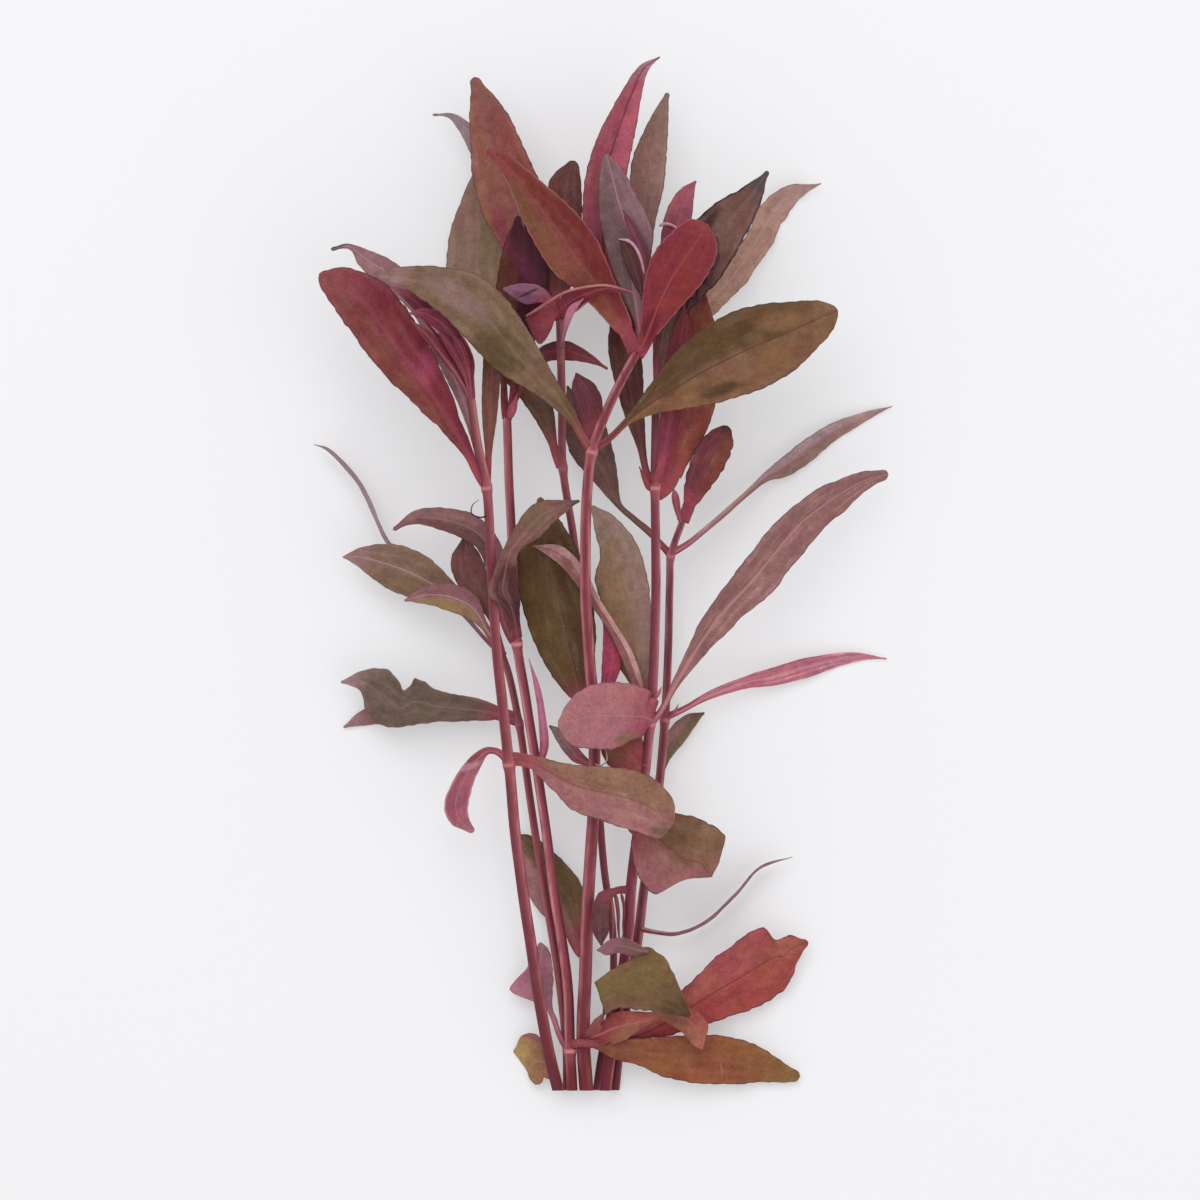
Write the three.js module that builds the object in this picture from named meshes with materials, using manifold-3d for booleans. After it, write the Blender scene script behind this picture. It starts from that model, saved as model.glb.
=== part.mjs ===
// Sessile joyweed: a clump of leafy stems that rise from one foot, cut off flat there and laid down.
// Millimetres. X runs across the clump, Y from the cut feet to the top leaves, and Z up from the surface.
// The lists below have Y = 0 at the cut, and MIDDLE then brings the origin under the middle of the clump.

import * as THREE from "three";
import * as BufferGeometryUtils from "three/addons/utils/BufferGeometryUtils.js";
import Module from "manifold-3d";

const wasm = await Module();
wasm.setup();

// Driving sizes
const MIDDLE = [0.75, 129.4, 0.3];
const STEM_SIDES = 8;
const NODE_SWELL = 1.3; // a node's radius over the stem's own
const NODE_REACH = 2; // from a node's ring to where its swelling ends
const LONGEST_STEP = 16; // along a stem, between rings
const PETIOLE_HALF = 0.55;
const PETIOLE_THICK = 1.0;
const TIP_HALF = 0.15;
const TIP_THICK = 0.25;
const RIB_THICK = 0.7;
const BLADE_THICK = 0.45; // halfway between the rib and the edge
const LEAF_STEPS = [4, 7]; // fewest and most along a leaf
const TIP_CROWDING = 1.3; // above 1, the steps grow shorter towards the tip
const NARROW = 0.3; // half-widths under this have no direction of their own

const TONES = {
  olive: 0x6e5532,
  oliveBrown: 0x85604a,
  tan: 0x96786a,
  redBrown: 0x82413c,
  darkBrown: 0x5c332e,
  crimson: 0x8c2d37,
  magenta: 0x96344e,
  purple: 0x6e3044,
  mauve: 0xa57080,
  pink: 0xaf6e78,
  orange: 0x8a4a2a,
  salmon: 0xaf5f50,
  mustard: 0xa07a46,
  stem: 0x7a2d38,
  darkStem: 0x5a2830,
};

// Each stem is a line of points from the foot up, with its radius at the foot and at the top.
// Nodes holds the places in that list where leaves part from it, and it is a little thicker there.
const STEMS = {
  front_left_stem: {
    tone: "stem",
    radius: [1.45, 1.1],
    points: [
      [-10.5, 0, 5.6], [-13.5, 13, 8], [-17.5, 38, 13], [-21, 63, 18], [-22.75, 82, 22],
      [-24.5, 98, 25], [-26, 113, 27.4], [-27.25, 133, 30], [-28.25, 151, 32.6],
      [-30.6, 162, 34], [-32.25, 173.6, 35],
    ],
    nodes: [4, 8],
  },
  thin_left_stem: {
    tone: "darkStem",
    radius: [1.05, 0.9],
    points: [
      [-8.3, 0, 1.4], [-8.4, 10, 2.4], [-10.25, 28, 4.2], [-13.5, 48, 6.2], [-16.75, 68, 8],
      [-20.25, 92, 10.4], [-23, 105, 12.2], [-25, 110.5, 13],
    ],
    nodes: [5],
  },
  rear_left_stem: {
    tone: "stem",
    radius: [1.35, 1.05],
    points: [
      [-7, 0, 5.8], [-7.5, 10, 6.9], [-8.25, 28, 8.6], [-11.25, 48, 10.4], [-14.25, 70.5, 12.6],
      [-18.5, 98, 16.4], [-20.75, 112, 18.2], [-21.6, 129, 20], [-22.75, 153, 22.2],
      [-23.25, 169, 23.4],
    ],
    nodes: [1, 6],
  },
  centre_stem: {
    tone: "stem",
    radius: [1.75, 1.1],
    points: [
      [-3.4, 0, 5.6], [-4.2, 13, 8.2], [-3.7, 28, 10.8], [-3, 48, 14], [-1.6, 72, 18], [-1.5, 95, 22],
      [-2.6, 108, 23.8], [-3.6, 126, 26], [-3.2, 150, 28.6], [-2, 160, 29.6], [2.5, 172, 30.8],
      [9.25, 185, 32],
    ],
    nodes: [5, 9],
  },
  rear_centre_stem: {
    tone: "darkStem",
    radius: [0.85, 1.05],
    points: [
      [-1, 0, 1.1], [0.2, 8, 2], [3, 23, 3.6], [3.2, 40, 5], [1, 56, 6.4], [-1, 83, 8.4],
      [-3, 110.5, 11], [-6.5, 138, 14], [-9.25, 156, 16], [-9.5, 172, 20.5], [-10, 194, 28],
    ],
    nodes: [8],
  },
  right_stem: {
    tone: "stem",
    radius: [1.5, 1.1],
    points: [
      [1.3, 0, 6], [3, 12, 8.1], [7, 39, 11.8], [8, 53, 13.6], [10.2, 71, 16], [12.5, 92, 19],
      [13.5, 108, 21], [14, 128, 23.2], [13.75, 151, 25.6], [14, 172.6, 27.4],
    ],
    nodes: [4, 5, 8],
  },
  far_right_stem: {
    tone: "stem",
    radius: [1.3, 0.85],
    points: [
      [3.6, 0, 1.5], [5, 12, 2.6], [9.5, 38, 4.8], [11, 50.5, 5.9], [14.2, 71, 8], [16.25, 93, 10],
      [17, 108, 11.4], [17.5, 128, 13.8], [17.75, 134, 14.6], [20.75, 143, 16.4],
    ],
    nodes: [5, 8],
  },
};

// Each leaf is a base, a tip and the points of its two edges between them, from the base up. Left is the
// edge on the left hand of someone who looks from base to tip. Crease is how far the midrib lies below a
// flat blade, or above it where it is negative.
const LEAVES = {
  // The lower left side
  mustard_foot_leaf: {
    tone: "mustard",
    base: [-12.6, 7.2, 5],
    tip: [-21.75, 9.75, 0.7],
    left: [[-13.4, 3, 4], [-16.2, 1.4, 2.6], [-18.6, 5, 0.8]],
    right: [[-13.8, 12.3, 4.6], [-18.75, 14.3, 2.6]],
    crease: -0.5,
  },
  mauve_foot_leaf: {
    tone: "mauve",
    base: [-9.5, 11.4, 6.4],
    tip: [-15, 37.2, 5.4],
    left: [[-13.2, 20.5, 6], [-17.5, 22.6, 5], [-22.6, 25.2, 4], [-18.2, 31, 4.6]],
    right: [[-11.9, 21.4, 5.8], [-11.7, 29.3, 5.4], [-13, 35.6, 5.2]],
    crease: 0.6,
  },
  low_olive_leaf: {
    tone: "olive",
    base: [-5, 37, 9],
    tip: [-21.5, 64.2, 1.6],
    left: [[-8, 37.8, 6.4], [-13, 42.5, 3.2], [-17.5, 48, 1.4], [-21.2, 56, 0.7]],
    right: [[-3.9, 50, 5.6], [-8, 56.2, 4], [-13, 61, 2.6], [-17.5, 64, 2]],
    crease: 0.5,
  },
  drooping_pink_leaf: {
    tone: "pink",
    base: [-24.9, 82.8, 22.4],
    tip: [-31.5, 65, 19],
    left: [[-27.6, 84.6, 23], [-29.8, 81.4, 22.4], [-32.4, 74.4, 21], [-33, 70, 20]],
    right: [[-27.5, 86.2, 24], [-32, 84.2, 24.6], [-36, 79, 24], [-39, 71.6, 22], [-37, 66.8, 20]],
    crease: 0.8,
  },
  rear_pink_leaf: {
    tone: "pink",
    base: [-21.7, 94.2, 8.6],
    tip: [-64.4, 91, 1],
    left: [[-30, 95, 5.6], [-44, 93.5, 2.6], [-56, 91.8, 0.8]],
    right: [[-30, 98.2, 6.2], [-42, 99.4, 3.6], [-52, 98.4, 2], [-60.5, 94.9, 1.2]],
    crease: 0.4,
  },
  wavy_grey_leaf: {
    tone: "darkBrown",
    base: [-21.9, 93, 10.8],
    tip: [-65, 102.4, 8],
    left: [
      [-25.75, 92.9, 11], [-33.75, 92.6, 11.4], [-42.5, 92.3, 11], [-51.25, 91.1, 9.6], [-56.4, 92.3, 8.4],
      [-58.9, 96.4, 7.4], [-60.5, 100.4, 7.4],
    ],
    right: [
      [-26.25, 96.6, 12.6], [-35, 99.5, 13.4], [-43.75, 102.2, 13.4], [-48.4, 101.3, 13], [-51.5, 105, 12],
      [-55, 106.3, 10.8], [-59.5, 105, 9.4],
    ],
    crease: 0.7,
  },

  // The middle left side
  thin_left_leaf: {
    tone: "mauve",
    base: [-26.4, 110.4, 11],
    tip: [-71.75, 162, 5],
    left: [
      [-37.2, 121.6, 6.6], [-45.3, 128.2, 4], [-53.5, 137, 1.6], [-60.5, 151.4, 0.4],
      [-68.4, 160.3, 2.4],
    ],
    right: [
      [-36.6, 122.6, 8.4], [-44.8, 129, 8.6], [-52.9, 137.7, 8.6], [-59.6, 151.9, 8.2],
      [-68, 161, 6.6],
    ],
    crease: 0.3,
  },
  left_olive_leaf: {
    tone: "oliveBrown",
    base: [-26.2, 112, 13],
    tip: [-64.5, 133.75, 9],
    left: [[-31, 117, 12.4], [-38, 121, 12], [-45, 122.8, 11.4], [-54, 126.2, 10], [-60, 130.9, 9]],
    right: [
      [-29.5, 118.8, 12.8], [-36, 126.8, 13.2], [-42.5, 133.25, 13.4], [-50, 136.8, 12.6],
      [-60, 136.2, 10.4],
    ],
    crease: 0.8,
  },
  left_dark_leaf: {
    tone: "darkBrown",
    base: [-25.3, 112.4, 14.6],
    tip: [-33.6, 139.4, 18],
    left: [[-28.5, 119, 15.6], [-33, 123.5, 15.8], [-36.5, 128.5, 16.2], [-37.25, 133.5, 17]],
    right: [[-25.6, 119.5, 15.8], [-27, 126, 16.6], [-29.6, 133.5, 17.4]],
    crease: 0.6,
  },
  left_folded_leaf: {
    tone: "mauve",
    base: [-26.2, 112.6, 16.4],
    tip: [-49, 122.75, 17.4],
    left: [[-29.2, 115.6, 17.6], [-32, 117.8, 18.4], [-38, 120.3, 18.6], [-45, 122.2, 17.8]],
    right: [
      [-28.3, 116.6, 17.8], [-30.6, 123.8, 19.6], [-36, 126.9, 20.4], [-42, 126.8, 20],
      [-46, 125.2, 18.8],
    ],
    crease: 0.6,
  },
  left_arched_leaf: {
    tone: "mauve",
    base: [-22.7, 113.4, 18.6],
    tip: [-51.75, 140.5, 20.4],
    left: [
      [-26.4, 121, 19], [-27.8, 126.8, 19.4], [-29, 132.4, 20.2], [-31.4, 136.6, 21],
      [-36.5, 139.2, 21.7], [-40, 140.6, 22], [-46.25, 141.9, 21.6],
    ],
    right: [
      [-23.6, 124, 20], [-24.4, 136, 21.6], [-28, 141.7, 22.8], [-34, 145.3, 23.8],
      [-46.25, 145.4, 22.8],
    ],
    crease: -0.5,
  },
  bent_band_leaf: {
    tone: "redBrown",
    base: [-20.8, 114.2, 21],
    tip: [-5, 147.8, 26],
    left: [
      [-23.4, 119.6, 28], [-25.2, 122, 31.6], [-28, 124.5, 33.4], [-26.4, 130.5, 33.8],
      [-19.4, 144, 30], [-15.2, 147.6, 28],
    ],
    right: [
      [-20, 120, 25], [-20.2, 127, 30], [-20.4, 134.6, 30.6], [-15, 138.8, 28.6],
      [-10.75, 143, 27],
    ],
    crease: 0.5,
  },
  hanging_olive_leaf: {
    tone: "olive",
    base: [-3.5, 95.8, 20.8],
    tip: [-15, 148.75, 18.6],
    left: [
      [-7.4, 98.4, 19], [-13.75, 106.8, 16.4], [-18.5, 118, 15.6], [-20.6, 128, 16],
      [-20, 137.5, 17.4],
    ],
    right: [[-2.2, 103, 19.4], [-1, 114, 17.2], [-2.2, 124, 16.8], [-5.4, 135, 17.6], [-10, 143, 18.4]],
    crease: 0.8,
  },
  narrow_centre_leaf: {
    tone: "pink",
    base: [11, 94.8, 19.8],
    tip: [-16.75, 136.6, 22],
    left: [
      [8.4, 100.6, 20], [4.9, 109.6, 20], [1.4, 116.4, 20.2], [-1.8, 121, 20.4],
      [-4.75, 125.2, 20.8], [-10, 131.7, 21.2],
    ],
    right: [
      [10.6, 102.4, 20.2], [7.9, 110.4, 20.4], [3.4, 117.8, 20.6], [0, 123.2, 20.8],
      [-4.4, 131.6, 21.5], [-10, 136.6, 21.8],
    ],
    crease: 0.3,
  },
  tan_centre_leaf: {
    tone: "tan",
    base: [11.2, 95.6, 17],
    tip: [-2.3, 146.6, 15],
    left: [
      [8.6, 100.4, 16.4], [4.4, 107, 15.6], [1.75, 118, 15], [-1.25, 128, 15],
      [0, 134.4, 15.2], [-1.25, 140, 15.4],
    ],
    right: [
      [12, 101.4, 16.8], [12.9, 112, 17.2], [12.5, 124.25, 17.4], [10.5, 134, 17.2],
      [7.5, 139.75, 16.6], [2.5, 144.75, 15.8],
    ],
    crease: 0.8,
  },

  // The middle and lower right side
  pink_centre_leaf: {
    tone: "pink",
    base: [10.2, 92.8, 21.6],
    tip: [-10.5, 91.6, 33],
    left: [[9.4, 90, 23], [4.5, 86, 26.4], [-1.25, 85.8, 29.4], [-7.5, 87, 31.8]],
    right: [
      [14, 98.6, 23.4], [11.25, 101, 24], [3.75, 102.5, 26.6], [-3.75, 101.2, 29.4],
      [-8.4, 96.75, 31.8],
    ],
    crease: -1,
  },
  big_low_leaf: {
    tone: "pink",
    base: [-20.6, 83.2, 23],
    tip: [18.6, 67.8, 32],
    left: [
      [-16.25, 84, 24.8], [-8.75, 82.2, 27], [0, 81.5, 29.4], [8.75, 80.5, 31.2],
      [15, 77.25, 32.2], [18.4, 72.6, 32.6],
    ],
    right: [
      [-17.5, 81, 23.8], [-12.5, 76.25, 24.8], [-7.5, 71, 26], [0, 68, 28],
      [8.75, 65.25, 29.6], [15, 63.6, 30.8],
    ],
    crease: 1.2,
  },
  curled_low_leaf: {
    tone: "oliveBrown",
    base: [10.4, 68.8, 18.4],
    tip: [28, 53.8, 24],
    left: [[18, 69.8, 22], [26.25, 67.75, 25], [31, 64.3, 27], [29.75, 58, 26]],
    right: [[8, 65.2, 19.4], [8.25, 58, 19.4], [10.5, 52.6, 19], [13.25, 49.4, 19.4], [21, 53, 21.4]],
    crease: 1,
  },
  long_right_leaf: {
    tone: "redBrown",
    base: [14.4, 93.2, 20.4],
    tip: [72.2, 154.4, 14],
    left: [
      [19, 104.6, 22.2], [22.5, 112.4, 24], [27.5, 121.6, 25.4], [33, 128.6, 26.4],
      [40, 138, 26.6], [51.25, 148.75, 24.4], [66, 155.2, 18],
    ],
    right: [
      [19.6, 101.4, 21.2], [25, 107.8, 21], [34, 117.2, 21], [43, 125, 21], [53, 137.5, 20],
      [62.4, 146.6, 16.6], [70.4, 153.2, 14.4],
    ],
    crease: 1,
  },
  pink_right_leaf: {
    tone: "magenta",
    base: [18.8, 94.2, 10.4],
    tip: [72, 108.25, 1],
    left: [
      [26.3, 99.6, 9], [35, 103.4, 7.4], [43, 106, 5.8], [50.5, 108.2, 4.2], [58, 109.5, 2.8],
      [65, 109.8, 1.8],
    ],
    right: [
      [26.8, 97.8, 8.2], [36, 100.6, 5.8], [44, 101.6, 3.6], [51, 103.2, 2], [58.5, 105.8, 0.7],
      [65.5, 107.8, 0.5],
    ],
    crease: 0.4,
  },
  thin_low_leaf: {
    tone: "mauve",
    base: [11.4, 40.2, 5.6],
    tip: [48.25, 58.5, 3],
    left: [[18.8, 39.6, 7.6], [26.4, 42.4, 9], [34, 48.9, 9], [40.5, 56.3, 7]],
    right: [[18.7, 38.8, 3.6], [26.1, 41.5, 2], [33.5, 48.1, 1.4], [40.3, 55.5, 1.6]],
    crease: 0.3,
  },
  bent_brown_leaf: {
    tone: "darkBrown",
    base: [6, 50.4, 14],
    tip: [0.4, 36.4, 17],
    left: [[3.8, 49.2, 15.4], [2.4, 46, 16.8], [2.2, 40, 17.2]],
    right: [[3, 50.8, 16], [-0.5, 49.6, 17], [-1.9, 45, 17.4], [-1.8, 40, 17.4]],
    crease: -0.4,
  },
  front_foot_leaf: {
    tone: "olive",
    base: [-2.4, 14.2, 10.4],
    tip: [22.4, 18.6, 20],
    left: [
      [-1, 16.8, 12.6], [0.9, 20.4, 14.8], [1.3, 23.8, 16], [-1.3, 27.2, 17.6], [2.6, 30.4, 19.4],
      [7.4, 33, 21], [11, 36.4, 22.2], [14.8, 35, 22.8], [18.6, 29, 22.4], [21.4, 23, 21.2],
    ],
    right: [
      [-0.1, 16.4, 12.6], [2.4, 20, 15.2], [5, 20.8, 16.2], [10, 20.5, 17.4], [15.4, 19.4, 18.8],
    ],
    crease: -1,
  },
  red_foot_leaf: {
    tone: "crimson",
    base: [4.8, 12.2, 9.8],
    tip: [52.25, 37.25, 5],
    left: [
      [12.5, 17.5, 9.8], [20.75, 25.5, 9.8], [31.25, 35.2, 9.6], [41, 40.9, 8.8],
      [44, 37.9, 7.8], [47.4, 38.9, 6.8],
    ],
    right: [
      [9, 12.8, 8.8], [16, 13.6, 7.4], [27, 16.8, 5.8], [37.5, 20.2, 4.2], [45.75, 24.75, 3.4],
      [50, 33, 4],
    ],
    crease: 0.9,
  },
  salmon_foot_leaf: {
    tone: "salmon",
    base: [-1.8, 13.4, 12.4],
    tip: [25.5, 10.5, 12.6],
    left: [[2.5, 19.2, 13], [6.2, 20.2, 13.8], [12.5, 19.8, 14.6], [22, 21, 15], [27, 17, 14]],
    right: [
      [1.4, 12, 12.6], [5.5, 12.4, 13], [9.6, 15, 13.3], [14, 17.6, 13.6], [20, 15.2, 13.6],
      [23.2, 11.6, 12.8],
    ],
    crease: 0.3,
  },
  brown_foot_leaf: {
    tone: "orange",
    base: [-6.7, 11.4, 10.3],
    tip: [50.2, 3.4, 2],
    left: [
      [-2.5, 12.6, 11.8], [4, 13.1, 11.5], [10, 13.2, 10.8], [27.5, 14, 8.4],
      [36.25, 12.6, 6.4], [43.75, 8.7, 4],
    ],
    right: [
      [-2.5, 11.2, 11.6], [3.75, 8, 10.8], [10, 6.25, 9.4], [16.25, 3.4, 7.8],
      [27.5, 1.6, 5.4], [42, 2, 2.4], [47, 2.2, 2],
    ],
    crease: 0.8,
  },

  // The crown, left side
  left_hooked_leaf: {
    tone: "mauve",
    base: [-29.6, 153.2, 30],
    tip: [-67.4, 210.7, 15],
    left: [
      [-31.4, 160.5, 27], [-34.6, 170, 24], [-40.9, 183, 20.4], [-47.5, 195.5, 18.4],
      [-55.4, 202.1, 17], [-60.6, 207, 16], [-62.4, 210.6, 15.6],
    ],
    right: [
      [-30, 162, 27], [-32.4, 172, 24], [-36.5, 184, 21], [-42, 198, 19.4],
      [-51.4, 207.5, 18.2], [-56.8, 210.1, 17], [-63.5, 212.2, 16],
    ],
    crease: 0.7,
  },
  left_red_leaf: {
    tone: "crimson",
    base: [-30.4, 152.8, 33.9],
    tip: [-70, 204.4, 33.6],
    left: [
      [-32.9, 157.6, 34], [-39.4, 165, 34.8], [-47.5, 173, 35.4], [-55, 180.5, 35.8],
      [-65, 194, 35.8], [-69.6, 201, 34.6],
    ],
    right: [
      [-31.8, 160.2, 33], [-34.75, 168, 32.4], [-38, 177, 31.8], [-45, 190.5, 31],
      [-52.5, 201, 31], [-57.3, 204, 31.4], [-63.6, 206, 32.4],
    ],
    crease: 1.2,
  },
  left_brown_leaf: {
    tone: "redBrown",
    base: [-27.8, 153.8, 30.2],
    tip: [-25.5, 198, 31.4],
    left: [[-28.6, 160, 29.8], [-29.4, 168, 29.6], [-29.4, 178, 30], [-28.4, 189, 31]],
    right: [[-27, 160, 29.6], [-25.8, 168, 29.2], [-24.8, 178, 29.6], [-23.8, 189, 30.8]],
    crease: 0.5,
  },
  big_left_leaf: {
    tone: "olive",
    base: [-3.9, 161.8, 30.6],
    tip: [-56.25, 204.2, 42.4],
    left: [
      [-7.6, 167, 32.6], [-12.5, 171.6, 35], [-19, 176, 37.4], [-25, 179.6, 38.6],
      [-31, 185.4, 39.6], [-37, 191.8, 40.4], [-46, 199, 41.4],
    ],
    right: [
      [-5.6, 168.4, 33.4], [-9.5, 175.5, 36], [-13.75, 183, 38.4], [-20, 193.5, 41],
      [-25.75, 200.5, 42.4], [-32.5, 204.75, 43.4], [-48.75, 206, 43.4],
    ],
    crease: 1.1,
  },
  second_left_leaf: {
    tone: "oliveBrown",
    base: [-11.2, 157, 16.6],
    tip: [-30, 189, 18.2],
    left: [[-11.8, 159.6, 16.6], [-15, 166, 16.6], [-19.2, 172.4, 17], [-25, 179.6, 17.6]],
    right: [[-10.9, 163.6, 16.6], [-12.4, 174, 17], [-17.4, 184, 17.8], [-24, 190, 18.2]],
    crease: 0.6,
  },
  tan_left_leaf: {
    tone: "tan",
    base: [-23.6, 170.2, 21],
    tip: [-30.5, 233, 5],
    left: [
      [-24.4, 175.6, 16], [-26.4, 183, 13.6], [-33.8, 195, 9.4], [-38.4, 206, 5],
      [-37.5, 215.5, 3.4], [-35, 223, 3.4],
    ],
    right: [
      [-23.4, 175.8, 16.2], [-23, 184, 14], [-23, 195, 11.6], [-23.5, 207, 8.6], [-25, 218, 7],
      [-28, 227, 5.8],
    ],
    crease: 0.9,
  },
  maroon_crown_leaf: {
    tone: "darkBrown",
    base: [-24.3, 170.8, 23.4],
    tip: [-20.5, 219, 25.4],
    left: [[-24.6, 180, 22.4], [-26.5, 192, 22.8], [-25.2, 206.5, 23.6], [-23.3, 213.8, 24.6]],
    right: [[-23.2, 181, 22.4], [-20, 193, 22.4], [-17.4, 205, 23], [-18.2, 213.6, 24.4]],
    crease: 0.7,
  },
  purple_crown_leaf: {
    tone: "purple",
    base: [-22, 170.6, 24.2],
    tip: [-17, 221.4, 28],
    left: [[-22, 181, 25.2], [-20.8, 195, 26.4], [-20, 208, 27.2], [-19, 216, 27.8]],
    right: [[-20.6, 181, 25], [-15, 190, 25.4], [-13.2, 200, 26.2], [-13.6, 211, 27.2]],
    crease: 0.7,
  },

  // The crown, top
  tall_left_leaf: {
    tone: "redBrown",
    base: [-11.2, 195.8, 25.6],
    tip: [-31.5, 253.75, 20],
    left: [
      [-17, 200.6, 20], [-24.2, 210.6, 15.6], [-29, 218.75, 14.4], [-31.75, 228, 14.6],
      [-32.4, 236, 15.4], [-32.5, 248, 18],
    ],
    right: [
      [-12.2, 204, 21], [-12.6, 216, 18.4], [-14.75, 227, 17.6], [-17.25, 232.25, 17.8],
      [-20, 238.5, 18.4], [-25, 247.5, 19.6],
    ],
    crease: 1.1,
  },
  grey_tip_leaf: {
    tone: "mauve",
    base: [-10.4, 196.2, 23.2],
    tip: [-42, 244.6, 8],
    left: [
      [-15, 202, 16.4], [-23, 217, 11], [-29, 228.6, 9.6], [-32.5, 235, 9],
      [-35.4, 240.6, 8.6], [-37.8, 243.7, 8.2],
    ],
    right: [
      [-12.5, 204, 16.6], [-16.8, 221, 12], [-24, 234, 10.8], [-29.5, 240, 9.8],
      [-33, 242.8, 9.4], [-37, 245, 8.8],
    ],
    crease: 0.5,
  },
  dark_top_leaf: {
    tone: "darkBrown",
    base: [-9, 196.2, 26.8],
    tip: [-6.25, 232.75, 23],
    left: [
      [-12.6, 199.8, 25.2], [-13.8, 205, 24.2], [-13.6, 213, 23.6], [-13.2, 222, 23],
      [-12.6, 227.8, 23], [-10, 230.8, 23],
    ],
    right: [
      [-7.8, 199.8, 25.4], [-5.4, 206, 23.8], [-4.7, 213, 22.6], [-4.5, 222, 22.2],
      [-5, 229.25, 22.6],
    ],
    crease: 0.6,
  },
  diagonal_leaf: {
    tone: "redBrown",
    base: [8.1, 186.3, 33.3],
    tip: [-28.25, 235, 42],
    left: [
      [4.6, 189.2, 34], [-1.25, 195.5, 35], [-6.25, 200.5, 35.4], [-11.25, 204.25, 36],
      [-16.25, 211.75, 37.6], [-20, 219.25, 39.4], [-23.75, 228, 41],
    ],
    right: [
      [8, 191.75, 34], [5, 199.25, 34.6], [2, 206.75, 35.4], [-0.75, 212.75, 36.4],
      [-5, 218.5, 37.8], [-12.5, 225.5, 39.8], [-23.75, 234, 41.8],
    ],
    crease: 1,
  },
  tall_magenta_leaf: {
    tone: "magenta",
    base: [8.2, 187.2, 30.8],
    tip: [15, 258.6, 28],
    left: [
      [2, 196, 28], [-3, 207, 26.8], [-4.4, 221, 26.4], [-3, 231.75, 26.4], [0, 240, 26.8],
      [5, 249.25, 27.4], [10, 256.5, 28],
    ],
    right: [
      [6.6, 197, 27.4], [5.6, 211, 26], [6, 223, 25.4], [7, 231, 25.2], [8.75, 239.25, 25.6],
      [10.25, 248, 26.6], [12, 255, 27.6],
    ],
    crease: 0.9,
  },
  grey_centre_leaf: {
    tone: "mauve",
    base: [10.5, 187.6, 31.4],
    tip: [1.5, 234.25, 33],
    left: [[7.4, 195, 31.2], [3, 205.4, 31.2], [0.4, 215, 31.6], [-0.5, 224.25, 32], [0, 229.6, 32.4]],
    right: [
      [11, 198, 32.2], [12.2, 207.5, 33], [13.4, 214, 33.6], [12.4, 217.6, 33.8],
      [9.25, 223.75, 33.6], [5.5, 230.5, 33.4],
    ],
    crease: 1.1,
  },
  tan_top_leaf: {
    tone: "tan",
    base: [10.2, 186.6, 28.8],
    tip: [17, 250, 15],
    left: [
      [8.4, 200, 22.6], [7.4, 214, 18.6], [7.4, 225.5, 16.6], [8, 233, 16],
      [10.5, 239.4, 15.6], [14.5, 246.9, 15.2],
    ],
    right: [[12, 200, 22.4], [13.6, 216, 18], [16, 226.75, 16], [16.75, 235.5, 15.4], [17.2, 246, 15]],
    crease: 0.8,
  },

  // The crown, right side
  front_crimson_leaf: {
    tone: "crimson",
    base: [10.6, 186.3, 33.3],
    tip: [27, 216.4, 45],
    left: [
      [10.2, 193, 35.4], [11, 201.75, 38], [13, 208.75, 40.4], [17.5, 214.25, 43],
      [22.5, 217.75, 44.8],
    ],
    right: [
      [13.4, 188.2, 35], [18, 193.5, 37.6], [22.5, 198.5, 40], [26.25, 203, 42],
      [29.25, 210.5, 44.4],
    ],
    crease: 1,
  },
  big_right_leaf: {
    tone: "olive",
    base: [0.9, 161.4, 30.4],
    tip: [59.25, 195.2, 39],
    left: [
      [8.4, 171, 34], [12.5, 176.75, 36], [20, 186, 38.6], [27.5, 191.75, 40.4],
      [35, 195.5, 41.6], [45, 197.1, 42], [55, 197.3, 40.4],
    ],
    right: [
      [7.5, 167, 33], [15, 169.6, 35], [25, 171.2, 36.4], [32.5, 173, 37.2],
      [41.25, 176, 37.6], [48.75, 180.5, 37.8], [58, 190.6, 38.6],
    ],
    crease: 1.1,
  },
  forked_brown_leaf: {
    tone: "darkBrown",
    base: [16.2, 135.4, 13.6],
    tip: [-8.25, 176.75, 10],
    left: [
      [12.8, 138.6, 12.6], [8.5, 142.4, 11.6], [3, 147.4, 10.4], [-1.25, 152.25, 9.8],
      [-7.25, 159.4, 9.4], [-9, 168, 9.4],
    ],
    right: [
      [13.2, 140.2, 12.6], [8.9, 143.8, 11.8], [5.5, 147, 11], [4.5, 153.5, 10.8],
      [3, 161.75, 11], [0, 169, 10.8],
    ],
    crease: 0.7,
  },
  brown_inner_leaf: {
    tone: "darkBrown",
    base: [11.7, 152.6, 24.4],
    tip: [5, 199, 21.4],
    left: [[9.5, 160.5, 23.4], [6.5, 168, 22.6], [3.5, 178, 22], [2, 186.5, 21.6], [3, 194, 21.4]],
    right: [[11.4, 162, 23], [11, 173, 22.4], [10.4, 184, 21.8], [8.4, 194, 21.4]],
    crease: 0.7,
  },
  magenta_inner_leaf: {
    tone: "magenta",
    base: [14.7, 153.2, 28.2],
    tip: [21, 197, 31.6],
    left: [[14.8, 162, 29.2], [15.2, 172, 30.2], [17, 186, 31.4]],
    right: [[17.6, 161, 28.2], [20, 168, 28.8], [22.5, 178, 29.8], [23, 189, 31]],
    crease: 0.6,
  },
  orange_inner_leaf: {
    tone: "orange",
    base: [15.9, 151.2, 25.2],
    tip: [25.5, 202.4, 25],
    left: [[16.2, 160, 25], [17.4, 172, 24.8], [18.4, 186, 24.8], [20, 197, 24.8]],
    right: [
      [18.4, 150.6, 23.4], [22.5, 158, 20], [26.75, 165.5, 19], [29.6, 176, 19.4],
      [29.6, 188, 21], [27.6, 196, 23],
    ],
    crease: 0.9,
  },
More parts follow.
